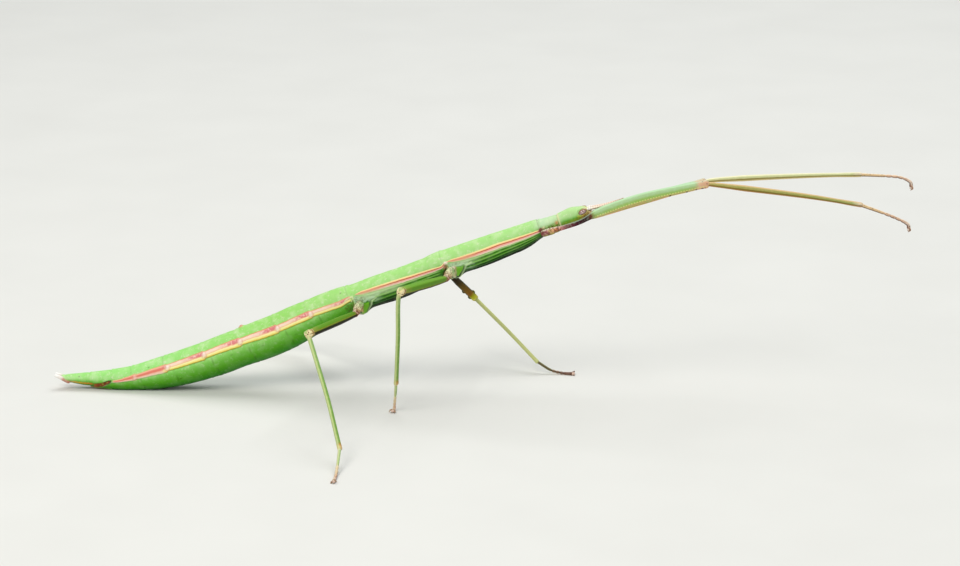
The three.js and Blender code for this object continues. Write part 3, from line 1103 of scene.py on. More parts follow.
class Canvas:
    """The body's skin as it is dressed: where its corners lie, their marks and their relief."""

    MARKS = ("stripe", "knob", "ridge", "cream", "blush", "membrane", "plate", "fold",
             "wrinkle", "dark", "fanned")
    BLOT_WAVE = 0.16  # how uneven round spots are
    PATCH_WAVE = 0.05  # how far the edges of patches waver
    LINE_WAVE = 0.04  # how far strokes waver

    def __init__(self, along: Row, side: Row, lift: Row) -> None:
        """Starts with plain skin.

        Args:
            along: Each corner's distance along the body.
            side: Its height beside the side line.
            lift: Its angle above the body's horizontal.
        """
        self.along = along
        self.side = side
        self.lift = lift
        self.marks = {name: np.zeros_like(along) for name in self.MARKS}
        self.relief = np.zeros_like(along)
        self.spots = np.stack([along, side, np.sign(lift) * 0.1], axis=1)
        self.wave = mottle(self.spots, 2.2, 7.0)

    def add(self, name: str, amount: Row, height: float = 0.0) -> None:
        """Adds to one of the marks and, by a height in millimetres, to the relief."""
        self.marks[name] += amount
        self.relief += height * amount

    def away(self, along: float, side: float, long: float = 1.0) -> Row:
        """Distance of each corner from a place, uneven, and shorter along the body by long."""
        return np.hypot((self.along - along) / long, self.side - side) * (1 + self.BLOT_WAVE * self.wave)

    def lay(self, along: float, patch: Patch) -> Row:
        """Lays a patch whose places start from a distance along the body.

        Args:
            along: That distance.
            patch: The patch.

        Returns:
            How far each corner lies inside it.
        """
        height = self.side + self.PATCH_WAVE * self.wave
        inside = inset(self.along - along, height, patch.corners)
        self.add(patch.mark, patch.strength * climb(inside, -0.05, 0.07))
        self.relief += patch.height * climb(inside, -0.03, 0.15)
        self.add("ridge", patch.rim * hump(inside, 0.0, 0.05))
        return inside

    def draw(self, along: float, stroke: Stroke) -> None:
        """Draws a stroke whose places start from a distance along the body.

        Args:
            along: That distance.
            stroke: The stroke.
        """
        shift = self.LINE_WAVE * self.wave
        x, y = self.along - along + shift, self.side + shift
        gap = np.full_like(x, np.inf)
        for (x0, y0), (x1, y1) in zip(stroke.points, stroke.points[1:]):
            dx, dy = x1 - x0, y1 - y0
            share = np.clip(((x - x0) * dx + (y - y0) * dy) / (dx * dx + dy * dy), 0, 1)
            gap = np.minimum(gap, np.hypot(x - x0 - share * dx, y - y0 - share * dy))
        ink = hump(gap, 0, stroke.width)
        self.add(stroke.mark, stroke.strength * ink)
        self.relief += stroke.height * ink


@dataclass
class Body:
    """The trunk and head as one skin, from the tip of the abdomen forward.

    Distances along the body are measured on its joints, from the tail's tip. The side line is
    where the stripe runs, and heights beside it are measured round the body from that line.
    """

    tail: Triple = (-54.2, 0.0, 1.32)
    segments: tuple[Segment, ...] = (
        Segment("abdomen_10", 3.6, -1, 0.85, 1.15),
        Segment("abdomen_9", 2.85, -1, 1.72, 1.85),
        Segment("abdomen_8", 2.8, 4, 2.55, 2.5),
        Segment("abdomen_7", 4.55, 11, 3.16, 3.05),
        Segment("abdomen_6", 5.15, 16.5, 4.24, 3.95),
        Segment("abdomen_5", 5.05, 21, 4.8, 4.4),
        Segment("abdomen_4", 5.3, 21.5, 4.94, 4.55),
        Segment("abdomen_3", 4.7, 27, 5.16, 4.65),
        Segment("abdomen_2", 5.6, 26, 4.66, 4.3),
        Segment("metathorax", 12.85, 21.5, 3.78, 3.7, belly=0.25),
        Segment("mesothorax", 13.3, 21.2, 3.46, 3.4, belly=0.6),
        Segment("prothorax", 2.6, 21, 2.44, 2.6, girth=0.88),
        Segment("head", 4.2, 19.5, 1.96, 2.1),
    )
    front_tall: float = 1.25
    front_wide: float = 1.35
    head_swell: float = 0.2  # how much wider the head is at its middle, as a share
    segment_swell: float = 0.025  # the same for the other segments
    rings: int = 540
    sides: int = 176

    tail_dome: float = 0.3  # length over which the tail's tip rounds off
    tail_slant: float = 1.15  # how far forward the underside of the tip is cut back
    tail_back: float = 0.45  # how far the top of the tip stands out behind
    tail_reach: float = 3.2  # length over which both fade
    head_dome: float = 0.8  # length over which the face rounds off
    knob_ahead: float = 0.5  # each knob of the stripe in front of its joint
    plate_ahead: float = 1.25  # each belly plate's front edge in front of its joint
    plate_lean: float = 0.12  # how far that edge leans forward, to a millimetre of height

    # [distance, how closely the rings lie]
    fineness: Table = (
        (0, 2.4), (2, 1.7), (9, 1.5), (10, 1), (38.5, 1), (39, 2.2), (42.5, 2.2), (43, 1), (51.8, 1),
        (52.2, 2.2), (55.7, 2.2), (56.2, 1), (64.6, 1), (65.2, 2.2), (72.55, 2.2),
    )
    # [distance, angle of the side line above the body's own horizontal]
    side_line: Table = (
        (0.0, -22), (1.7, -21), (2.45, -24.7), (3.6, -24), (4.3, -22), (5.1, -13), (5.9, -2), (6.5, 4),
        (7.06, 5.5), (7.7, 8), (8.4, 13), (9.5, 18), (11.9, 25), (14.4, 28), (18.0, 31), (21.5, 33),
        (25.9, 30), (29.9, 27), (34.6, 23), (37.1, 16), (38.4, 12), (40.1, 17), (40.6, 24), (42.7, 20),
        (46.7, 14.5), (49.4, 10), (52.2, 4.5), (52.45, 6.5), (52.85, 15.5), (53.1, 19), (53.5, 19),
        (54.9, 15), (57.6, 13.5), (60.3, 14), (63.0, 7), (65.7, -1), (68.3, 0), (72.6, 0),
    )
    # [distance, half the stripe's width]
    stripe_half: Table = (
        (0.0, 0.1), (4.2, 0.12), (6.6, 0.12), (7.7, 0.22), (9.5, 0.34), (12.0, 0.45), (16.0, 0.53),
        (27.0, 0.57), (34.5, 0.48), (38.5, 0.4), (40.2, 0.28), (40.7, 0.06), (41.5, 0.22), (43.5, 0.27),
        (47.0, 0.3), (51.0, 0.25), (52.9, 0.16), (53.2, 0.06), (54.0, 0.2), (55.6, 0.27), (59.0, 0.32),
        (63.0, 0.28), (65.7, 0.2), (72.6, 0.2),
    )
    # [distance, height beside the side line] of the dark pits
    pits: Table = (
        (27.1, -1.35), (31.6, -1.6), (39.0, 1.3), (11.8, 0.75), (2.4, 0.9), (15.6, -1.9), (22.9, -1.2),
        (45.0, -2.1), (59.4, 1.5),
    )
    # [distance, width, height] of the low rises of the back and of the underside
    back_swells: Table = ((46.8, 2.2, -0.08), (52.4, 0.35, 0.05))
    belly_swells: Table = ((46.3, 3.4, 0.2), (63.2, 1.8, 0.2))

    def __post_init__(self) -> None:
        """Lays the axis through the joints."""
        joints = [Vector(self.tail)]
        for part in self.segments:
            slope = math.radians(part.slope)
            step = Vector((math.cos(slope), 0.0, math.sin(slope))) * part.length
            joints.append(joints[-1] + step)
        self.axis = Path(joints)
        lengths = [part.length for part in self.segments]
        self.joints = np.concatenate([[0.0], np.cumsum(lengths)])
        self.joint_reach = [self.axis.joint(index) for index in range(len(joints))]
        self.rear = {part.name: mark for part, mark in zip(self.segments, self.joints)}
        self.hips = self.rear["metathorax"], self.rear["mesothorax"]
        self.neck = self.rear["prothorax"]

    def sizes(self, along: Row) -> tuple[Row, Row, Row]:
        """Height, width and drop of the body at distances along it.

        Args:
            along: The distances.

        Returns:
            The full height, the full width, and how far the section's middle is lowered.
        """
        last = len(self.segments) - 1
        index = np.clip(np.searchsorted(self.joints, along, side="right") - 1, 0, last)
        share = np.clip((along - self.joints[index]) / np.diff(self.joints)[index], 0, 1)
        middle = np.sin(math.pi * share)
        swells = [self.segment_swell] * last + [self.head_swell]
        girth = np.array([part.girth for part in self.segments])[index]
        girth = girth * (1 + middle * np.array(swells)[index])
        belly = np.array([part.belly for part in self.segments])[index] * middle
        talls = np.array([part.tall for part in self.segments] + [self.front_tall])
        wides = np.array([part.wide for part in self.segments] + [self.front_wide])
        tall = (talls[index] * (1 - share) + talls[index + 1] * share) * girth + belly
        wide = (wides[index] * (1 - share) + wides[index + 1] * share) * girth
        return tall, wide, belly / 2

    def stand(self, along: Row) -> tuple[Row, Row]:
        """Places and directions of the axis at distances along the body."""
        return self.axis.walk(np.interp(along, self.joints, self.joint_reach))

    def place(self, along: float) -> tuple[Vector, Vector, Vector]:
        """The axis at one distance along the body.

        Args:
            along: The distance.

        Returns:
            The place, the direction forward and the direction up.
        """
        spots, headings = self.stand(np.array([along]))
        forward = Vector(headings[0])
        return Vector(spots[0]), forward, Vector((-forward.z, 0.0, forward.x))

    def point(self, along: float, angle: float, out: float = 0.0) -> Vector:
        """A place on the body's plain outline.

        Args:
            along: Distance along the body.
            angle: Angle above the body's horizontal, towards the left side.
            out: Distance outside the outline.

        Returns:
            The place.
        """
        spot, _, up = self.place(along)
        tall, wide, drop = (row[0] for row in self.sizes(np.array([along])))
        sine, cosine = math.sin(math.radians(angle)), math.cos(math.radians(angle))
        rise = (tall / 2 + out) * sine - drop
        return spot + up * rise + Vector((0.0, (wide / 2 + out) * cosine, 0.0))

    def build(self, finish: Material) -> Piece:
        """Builds the skin in place of the trunk's and the head's nodes.

        Args:
            finish: Its material.

        Returns:
            The piece.
        """
        sheet = Sheet(self.rings, self.sides)
        along = self._ring_places(sheet.along)
        lift = np.degrees(np.pi / 2 - np.abs(sheet.around))
        tall, wide, drop = self.sizes(along)
        line = column(self.side_line, along, 1)
        canvas = Canvas(along, np.radians(lift - line) * (tall + wide) / 4, lift)
        self._dress(canvas)
        marks = {name: np.clip(row, 0, 1) for name, row in canvas.marks.items()}
        marks |= {
            "along": along, "keel": np.cos(sheet.around), "phase": self._phase(along),
            "band": canvas.side / self._half_stripe(along), "fan": self._fan(along, canvas.side),
            "thorax": climb(along, self.hips[0] + 0.5, self.hips[0] + 0.9),
        }
        rear, front = (np.clip(gap, 0, 1) for gap in (
            along / self.tail_dome, (self.joints[-1] - along) / self.head_dome))
        end = np.sqrt(rear * (2 - rear))
        close = end * np.sqrt(front * (2 - front))
        under = (1 - np.cos(sheet.around)) / 2
        shift = self.tail_slant * (0.5 + (under - 0.5) * end) - self.tail_back
        spot, ahead = self.stand(along + shift * climb(along, self.tail_reach, 0.0))
        relief = canvas.relief * close
        rise = (tall / 2 * close + relief) * np.cos(sheet.around) - drop
        out = (wide / 2 * close + relief) * np.sin(sheet.around)
        places = spot.copy()
        places[:, 0] -= ahead[:, 2] * rise
        places[:, 1] += out
        places[:, 2] += ahead[:, 0] * rise
        places[:, 2] = np.maximum(places[:, 2], self.lowest(along))
        mesh = sheet.roll(places, marks)
        nodes = [part.name for part in self.segments]
        return place_piece("insect_skin", mesh, finish, nodes)

    def _ring_places(self, share: Row) -> Row:
        """Distances along the body of rings that lie closer where the skin has more detail.

        Args:
            share: The rings' shares of the grid.

        Returns:
            The distances.
        """
        marks = np.linspace(0, self.joints[-1], 2000)
        count = np.cumsum(column(self.fineness, marks, 1))
        return np.interp(share, (count - count[0]) / (count[-1] - count[0]), marks)

    def _phase(self, along: Row) -> Row:
        """Place between two knobs of the stripe, from the rear one (0) to the front one (1).

        Args:
            along: Distances along the body.

        Returns:
            The place, from 0 to 1.
        """
        knobs = np.append(self.joints[1:10] + self.knob_ahead, self.joints[-1])
        index = np.clip(np.searchsorted(knobs, along, side="right") - 1, 0, len(knobs) - 2)
        phase = (along - knobs[index]) / np.diff(knobs)[index]
        runs = (self.hips[0] + 1.2, self.hips[1] + 0.3), (self.hips[1] + 0.8, self.neck)
        for rear, front in runs:
            phase = np.where(along > rear - 0.55, (along - rear) / (front - rear), phase)
        return np.clip(phase, 0, 1)

    def _half_stripe(self, along: Row) -> Row:
        """Half the stripe's width: on the abdomen it widens towards each front knob.

        Args:
            along: Distances along the body.

        Returns:
            The half widths.
        """
        abdomen = climb(along, self.hips[0] + 0.6, self.hips[0])
        swell = 1 + abdomen * (0.25 * self._phase(along) - 0.2)
        return column(self.stripe_half, along, 1) * swell

    def lowest(self, along: Row) -> Row:
        """Lowest level of the skin: the floor, or above the keel under the ninth segment."""
        keel = between(along, self.rear["abdomen_9"] + 0.1, self.rear["abdomen_8"] - 0.1, 0.25)
        return FLOOR + 0.3 * keel

    def _dress(self, canvas: Canvas) -> None:
        """Lays all marks and the relief on the skin.

        Args:
            canvas: The skin.
        """
        self._dress_stripe(canvas)
        self._dress_abdomen(canvas)
        self._dress_tail(canvas)
        for rear, front in zip(self.hips, (self.hips[1], self.neck)):
            self._dress_thorax(canvas, rear, front)
        self._dress_hips(canvas)
        self._dress_neck(canvas)
        self._dress_head(canvas)
        for mark, level in self.pits:
            canvas.add("dark", 0.7 * hump(canvas.away(mark, level), 0, 0.09))
        back = hump(np.abs(canvas.lift), 90, 5) * climb(canvas.lift, 0, 60)
        top = climb(canvas.lift, 20, 80)
        low = climb(canvas.lift, -20, -80)
        canvas.relief += 0.035 * back
        canvas.relief -= 0.2 * between(canvas.along, 39.9, 50.9, 0.8) * top
        for swells, face in ((self.back_swells, top), (self.belly_swells, low)):
            for middle, width, height in swells:
                canvas.relief += height * hump(canvas.along, middle, width) * face
        broad, fine = mottle(canvas.spots, 0.9, 3.0), mottle(canvas.spots, 4.5, 11.0)
        canvas.relief += 0.02 * broad + 0.006 * fine

    def _dress_stripe(self, canvas: Canvas) -> None:
        """The stripe along the side, in three runs, and its low swelling.

        Args:
            canvas: The skin.
        """
        along = canvas.along
        stripe = between(along, 6.75, self.hips[0] + 0.35, 0.12)
        canvas.add("stripe", stripe)
        front = between(along, self.hips[0] + 1.1, self.hips[1] + 0.42, 0.08)
        front += between(along, self.hips[1] + 0.72, self.neck - 0.05, 0.08)
        band = canvas.side / self._half_stripe(along)
        canvas.add("stripe", front)
        canvas.relief += 0.04 * front * climb(np.abs(band), 1.3, 0.3)
        canvas.relief += 0.1 * stripe * climb(np.abs(band), 1.25, 0.75)
        canvas.relief -= 0.05 * stripe * hump(band, -1.25, 0.2)
        canvas.relief -= 0.03 * stripe * hump(band, -0.12, 0.12)

    def _dress_abdomen(self, canvas: Canvas) -> None:
        """Rings at the joints, a knob before each, belly plates, and the crest on the back.

        Args:
            canvas: The skin.
        """
        along, side = canvas.along, canvas.side
        half = self._half_stripe(along)
        above = climb(side, half, half + 0.35)
        for joint in self.joints[1:-2]:
            lip = 0.055 * hump(along, joint + 0.22, 0.16) - 0.07 * hump(along, joint, 0.08)
            canvas.relief += lip * (0.35 + 0.65 * above)
        for joint in self.joints[3:9]:
            away = canvas.away(joint + self.knob_ahead, 0.0, 0.9)
            clear = 0.45 + 0.55 * float(joint > self.joints[3])
            canvas.add("knob", 1.05 * clear * hump(away, 0, 0.26), 0.15)
            canvas.add("blush", 0.55 * hump(away, 0.36, 0.08))
            lean = along - joint - self.plate_ahead + self.plate_lean * (side + half)
            below = climb(side, -half - 0.02, -half - 0.2)
            canvas.relief += (0.035 * hump(lean, -0.22, 0.2) - 0.06 * hump(lean, 0, 0.07)) * below
            canvas.add("dark", 0.3 * hump(lean, 0, 0.06) * below * climb(canvas.lift, -85, -40))
            canvas.add("dark", 0.13 * hump(along, joint - 0.02, 0.06) * above)
            # a painted highlight along each joint's raised lip
            canvas.add("ridge", 0.2 * hump(along, joint + 0.16, 0.1) * above)
        crest = hump(along, 25.05, 0.34) * hump(canvas.lift, 90, 13)
        canvas.add("blush", 0.9 * climb(crest, 0.35, 0.8))
        canvas.relief += 0.28 * crest

    def _dress_tail(self, canvas: Canvas) -> None:
        """The last segments: an orange line, a red-brown patch and a small ringed oval.

        Args:
            canvas: The skin.
        """
        along, side = canvas.along, canvas.side
        canvas.add("blush", between(along, 0.9, 4.1, 0.3) * hump(side, 0, 0.13))
        corners = ((4.25, 0.03), (6.55, 0.12), (6.2, -0.25), (4.3, -0.9))
        inside = canvas.lay(0.0, Patch("blush", 1.1, 0.05, corners))
        canvas.add("dark", 0.6 * hump(inside, 0.0, 0.05))
        oval = np.hypot((along - 6.1) / 0.4, (side + 0.03) / 0.2)
        canvas.add("dark", 0.75 * hump(oval, 1.0, 0.28))
        curl = side + 0.42 - 0.37 * (along - 5.0)
        canvas.add("ridge", 0.9 * between(along, 5.4, 6.85, 0.12) * hump(curl, -0.27, 0.06), 0.04)
        rim = climb(along, 1.05, 0.5)
        canvas.add("ridge", 0.7 * rim * climb(canvas.lift, -20, 30))
        canvas.add("blush", 0.6 * rim * climb(canvas.lift, 30, -20))
        canvas.relief -= 0.05 * hump(along, 0.85, 0.12)

    def _dress_thorax(self, canvas: Canvas, rear: float, front: float) -> None:
        """One thorax segment's pleural ridges, which fan forward from its hip.

        Args:
            canvas: The skin.
            rear: Distance of the segment's rear.
            front: Distance of its front.
        """
        share = (canvas.along - rear) / (front - rear)
        late = climb(canvas.along, *self.hips)
        shown = between(share, 0.19, 0.95, 0.03)
        fan = self._fan(canvas.along, canvas.side)
        shown = shown * climb(fan, 0.15, 0.4)
        canvas.marks["fanned"] += shown
        canvas.relief += 0.035 * shown * np.cos(math.tau * (fan - 0.5) / 0.46)
        half = self._half_stripe(canvas.along)
        # a painted highlight on the raised lip at the segment's rear
        ring = hump(canvas.along, rear + 0.16, 0.12) * climb(canvas.side, half, half + 0.5)
        canvas.add("ridge", 0.25 * ring)
        pale = hump(canvas.side, -half - 0.3, 0.4) * between(share, 0.1, 0.8 - 0.5 * late, 0.1)
        canvas.add("ridge", (0.72 - 0.17 * late + 0.2 * canvas.wave) * pale)
        mottled = between(share, 0.19, 0.3, 0.05) * between(canvas.side, -1.7, -0.45, 0.3)
        canvas.add("membrane", 0.5 * mottled * climb(canvas.wave, -0.35, 0.3))

    def _fan(self, along: Row, side: Row) -> Row:
        """Which of the pleural ridges a place lies on: they draw together towards the front.

        Args:
            along: Distances along the body.
            side: Heights beside the side line.

        Returns:
            The ridge's number, counted downward.
        """
        rear, front = self.hips
        last = (along - front) / (self.neck - front)
        spread = np.where(along < front, 1.05 - 0.25 * climb(along, rear + 3, front),
                          0.42 + 0.68 * np.sqrt(np.clip(1 - last, 0, 1)))
        return -side / spread

    def _dress_hips(self, canvas: Canvas) -> None:
        """The wrinkled skin and the small plates round the four rear hips.

        Args:
            canvas: The skin.
        """
        for segment, shapes in HIPS.items():
            rear = self.rear[segment]
            for shape in shapes:
                if isinstance(shape, Patch):
                    canvas.lay(rear, shape)
                else:
                    canvas.draw(rear, shape)
            bulge = hump(canvas.along, rear + 1.2, 0.85) * hump(canvas.side, -3.0, 1.0)
            canvas.relief += 0.42 * bulge

    def _dress_neck(self, canvas: Canvas) -> None:
        """The small shield before the neck: its rims, a maroon spot and mottled lower sides.

        Args:
            canvas: The skin.
        """
        ahead = canvas.along - self.rear["head"]
        canvas.relief += 0.05 * hump(ahead, -0.3, 0.18) - 0.1 * hump(ahead, 0, 0.12)
        canvas.relief += 0.045 * hump(ahead, -2.35, 0.2) - 0.05 * hump(ahead, -1.25, 0.1)
        canvas.add("blush", 1.1 * hump(canvas.away(self.neck + 0.1, 0.08, 1.2), 0, 0.26))
        canvas.add("cream", 0.9 * hump(canvas.away(self.neck + 0.55, 0.15, 0.8), 0, 0.2), 0.04)
        low = climb(canvas.side, 0.35, -0.1) * between(ahead, -2.3, -0.15, 0.12)
        canvas.add("fold", 0.9 * low)
        canvas.add("cream", 0.45 * low * climb(canvas.wave, -0.1, 0.35))
        canvas.add("blush", 0.7 * hump(canvas.away(self.neck + 1.6, -0.6, 1.6), 0, 0.3))
        canvas.add("blush", hump(canvas.away(self.neck + 2.3, 0.16, 1.0), 0, 0.22))
        canvas.add("dark", 0.4 * hump(ahead, -2.62, 0.06) * climb(canvas.lift, 10, 40))
        collar = climb(canvas.lift, -60, -30)
        canvas.add("cream", hump(ahead, 0.06, 0.11) * collar, 0.05)
        canvas.add("dark", 0.3 * hump(ahead, -0.1, 0.05) * collar)

    def _dress_head(self, canvas: Canvas) -> None:
        """The head's long vault, the rim round its eyes, its yellow cheeks and its face.

        Args:
            canvas: The skin.
        """
        ahead, lift = canvas.along - self.rear["head"], canvas.lift
        canvas.relief += 0.2 * hump(ahead, 2.0, 1.1) * climb(lift, 10, 70)
        behind = ahead - Eye.ahead
        eye = np.hypot(behind / 0.82, (lift - Eye.lift - 11 * behind) / 29)
        round_eye = hump(eye, 1.0, 0.2)
        canvas.relief += 0.1 * round_eye
        canvas.add("blush", 0.7 * round_eye * climb(ahead - 0.03 * lift, 1.7, 2.6))
        canvas.relief -= 0.06 * hump(eye, 0, 0.6)
        cheek = np.hypot((ahead - 3.3) / 0.9, (lift + 25) / 30)
        canvas.relief += 0.05 * hump(cheek, 0, 0.7)
        canvas.relief -= 0.03 * hump(np.abs(lift - 90), 0, 4) * climb(ahead, 0.3, 1.0)
        canvas.add("blush", 0.85 * climb(lift, 8, -28) * climb(ahead, 0.15, 0.5))
        canvas.add("blush", 0.9 * climb(ahead, 2.75, 3.5) * climb(lift, 20, -4))
        canvas.add("fold", 0.9 * climb(ahead, 2.9, 3.6) * climb(lift, 15, -10))
        brow = np.hypot(ahead - 3.9, (lift - 45) / 70)
        canvas.add("cream", 0.7 * hump(brow, 0, 0.42))


# ---- Parts of the head and the tail ----


@dataclass
class Fitting:
    """A small part on one side of the head or the tail, which stands for one node."""

    side: Side

    NODE = ""
    SUFFIX = "feeler"
    SLOT = Slot.FEELER

    def shape(self) -> Mesh:
        """The part's closed mesh in the insect's own place."""
        raise NotImplementedError

    def build(self, finish: Material) -> Piece:
        """Makes the part's mesh a piece in place of its node."""
        node = f"{self.NODE}_{self.side.label}"
        return place_piece(f"{node}_{self.SUFFIX}", self.shape(), finish, [node])


@dataclass
class Eye(Fitting):
    """One oval eye, set into the side of the head."""

    body: Body
    ahead: float = 3.22  # in front of the neck
    lift: float = 26.0  # angle above the head's horizontal
    sunk: float = 0.03  # how far its middle lies inside the outline
    half: Triple = (0.66, 0.3, 0.34)
    tilt: float = 33.0  # its long axis above the horizontal
    lean: float = 0.6  # how far its pale streaks lean

    NODE = "eye"
    SUFFIX = "ball"
    SLOT = Slot.EYE

    def shape(self) -> Mesh:
        """Shapes the ball, with the marks ring and slant.

        Returns:
            The closed mesh.
        """
        centre = self.body.point(self.body.rear["head"] + self.ahead, self.lift, -self.sunk)
        centre.y *= self.side.value
        turn = Matrix.Rotation(-math.radians(self.tilt), 3, "Y")
        mesh = bead(Vector((0, 0, 0)), Vector((1, 1, 1)), Matrix.Identity(3), {})
        ring = mesh.verts.layers.float.new("ring")
        slant = mesh.verts.layers.float.new("slant")
        for corner in mesh.verts:
            corner[ring] = math.hypot(corner.co.x, corner.co.z)
            corner[slant] = corner.co.x * self.lean + corner.co.z
        bmesh.ops.scale(mesh, vec=Vector(self.half), verts=mesh.verts)
        place = Matrix.Translation(centre) @ turn.to_4x4()
        bmesh.ops.transform(mesh, matrix=place, verts=mesh.verts)
        return mesh


@dataclass
class Antenna(Fitting):
    """One short feeler: a knob-like first piece, then many small ones."""

    body: Body
    ahead: float = 4.0  # in front of the neck
    apart: float = 0.38  # from the middle of the face
    up: float = 0.34  # above the head's axis
    length: float = 4.65
    small_piece: float = 0.3
    sag: float = 0.12  # how far its middle hangs below the straight line

    NODE = "antenna"
    RISES = {Side.RIGHT: 17.6, Side.LEFT: 15.4}  # slope of each feeler
    DRIFTS = {Side.RIGHT: 0.0, Side.LEFT: -0.055}  # how far each leans outward
    SIZES = ((0, 0.34, 0.36), (0.06, 0.52, 0.5), (0.11, 0.38, 0.4), (0.16, 0.38, 0.4),
             (0.3, 0.36, 0.38), (0.8, 0.32, 0.33), (1, 0.22, 0.22))
    FIRST_KNOTS = (0.11, 0.17)  # shares where the first two pieces end

    def shape(self) -> Mesh:
        """Shapes the feeler, pinched between its pieces.

        Returns:
            The closed mesh.
        """
        spot, _, up = self.body.place(self.body.rear["head"] + self.ahead)
        root = spot + up * self.up
        root.y = self.side.value * self.apart
        slope = math.radians(self.RISES[self.side])
        drift = self.DRIFTS[self.side] * self.side.value
        course = Vector((math.cos(slope), drift, math.sin(slope)))
        middle = root + course * self.length * 0.5 - Vector((0, 0, self.sag))
        count = int(self.length / self.small_piece)
        base = self.FIRST_KNOTS[-1]
        rest = [base + (1 - base) * step / count for step in range(1, count)]
        return Tube(
            path=[root, middle, root + course * self.length], across=LEFTWARD, sizes=self.SIZES,
            square=2.0, knots=[*self.FIRST_KNOTS, *rest], pinch=0.16, rings=230, sides=20,
        ).build()


@dataclass
class Mouthparts(Fitting):
    """One side's jaw and the short feeler beside the mouth."""

    body: Body
    ahead: float = 3.75  # in front of the neck
    apart: float = 0.34  # from the middle of the face
    drop: float = 0.3  # below the head's axis
    length: float = 0.95

    NODE = "palp"
    SUFFIX = "mouthparts"
    PALP_SIZES = ((0, 0.28, 0.26), (0.4, 0.34, 0.3), (1, 0.26, 0.24))
    JAW_SIZES = ((0, 0.62, 0.42), (0.6, 0.5, 0.4), (1, 0.3, 0.3))

    def shape(self) -> Mesh:
        """Shapes the bent feeler and the jaw above it.

        Returns:
            The closed mesh.
        """
        spot, forward, up = self.body.place(self.body.rear["head"] + self.ahead)
        root = spot - up * self.drop
        root.y = self.side.value * self.apart
        elbow = root + forward * self.length * 0.55 - up * 0.16
        tip = root + forward * self.length - up * 0.05
        palp = Tube(
            path=[root, elbow, tip], across=LEFTWARD, sizes=self.PALP_SIZES,
            square=2.0, knots=[0.36, 0.68], pinch=0.25, rings=60, sides=20,
        )
        jaw = Tube(
            path=[root + up * 0.2 - forward * 0.1, root + up * 0.12 + forward * 0.45],
            across=LEFTWARD, sizes=self.JAW_SIZES, rings=40, sides=24,
        )
        return join([palp.build(), jaw.build()])


@dataclass
class Cercus(Fitting):
    """One of the two short feelers at the tail's tip, which rise to the rear."""

    NODE = "cercus"
    COURSE = ((-53.3, 0.45, 1.04), (-53.85, 0.45, 1.32), (-54.36, 0.42, 1.61),
              (-54.9, 0.38, 1.83))
    SIZES = ((0, 0.5, 0.42), (0.5, 0.48, 0.42), (1, 0.36, 0.34))

    def shape(self) -> Mesh:
        """Shapes the feeler."""
        path = [Vector((x, y * self.side.value, z)) for x, y, z in self.COURSE]
        return Tube(path, -LEFTWARD, self.SIZES, square=2.0, rings=60, sides=24).build()


@dataclass
class Operculum:
    """The scoop-shaped plate under the ninth segment."""

    body: Body
    length: float = 2.5
    front: float = 1.75  # its width in front
    middle: float = 1.1
    rear: float = 0.7
    thick: float = 0.62
    behind: float = 0.1  # its front end behind the segment's
    lifted: float = 0.06  # its rear end above its front end

    def build(self, finish: Material) -> Piece:
        """Builds the plate in place of its node.

        Args:
            finish: Its material.

        Returns:
            The piece.
        """
        spot, _, _ = self.body.place(self.body.rear["abdomen_8"])
        front = Vector((spot.x - self.behind, 0.0, self.thick / 2))
        rear = front - Vector((self.length, 0.0, -self.lifted))
        tube = Tube(
            path=[rear, front], across=LEFTWARD,
            sizes=((0, 0.3, self.rear), (0.3, self.thick * 0.85, self.middle),
                   (1, self.thick, self.front)),
            ridges=[[180, 0.04]], rings=80, sides=40,
        )
        return place_piece("operculum_plate", tube.build(), finish, ["operculum"])


# ---- Legs ----


class Kind(Enum):
    """The two kinds of leg: stretched out ahead of the head, or standing on the floor."""

    FORE = "fore"
    WALKING = "walking"


class Part(Enum):
    """The pieces of a leg, from the hip outward, by their nodes' names."""

    COXA = "coxa"
    FEMUR = "femur"
    TIBIA = "tibia"
    TARSUS = "tarsus"


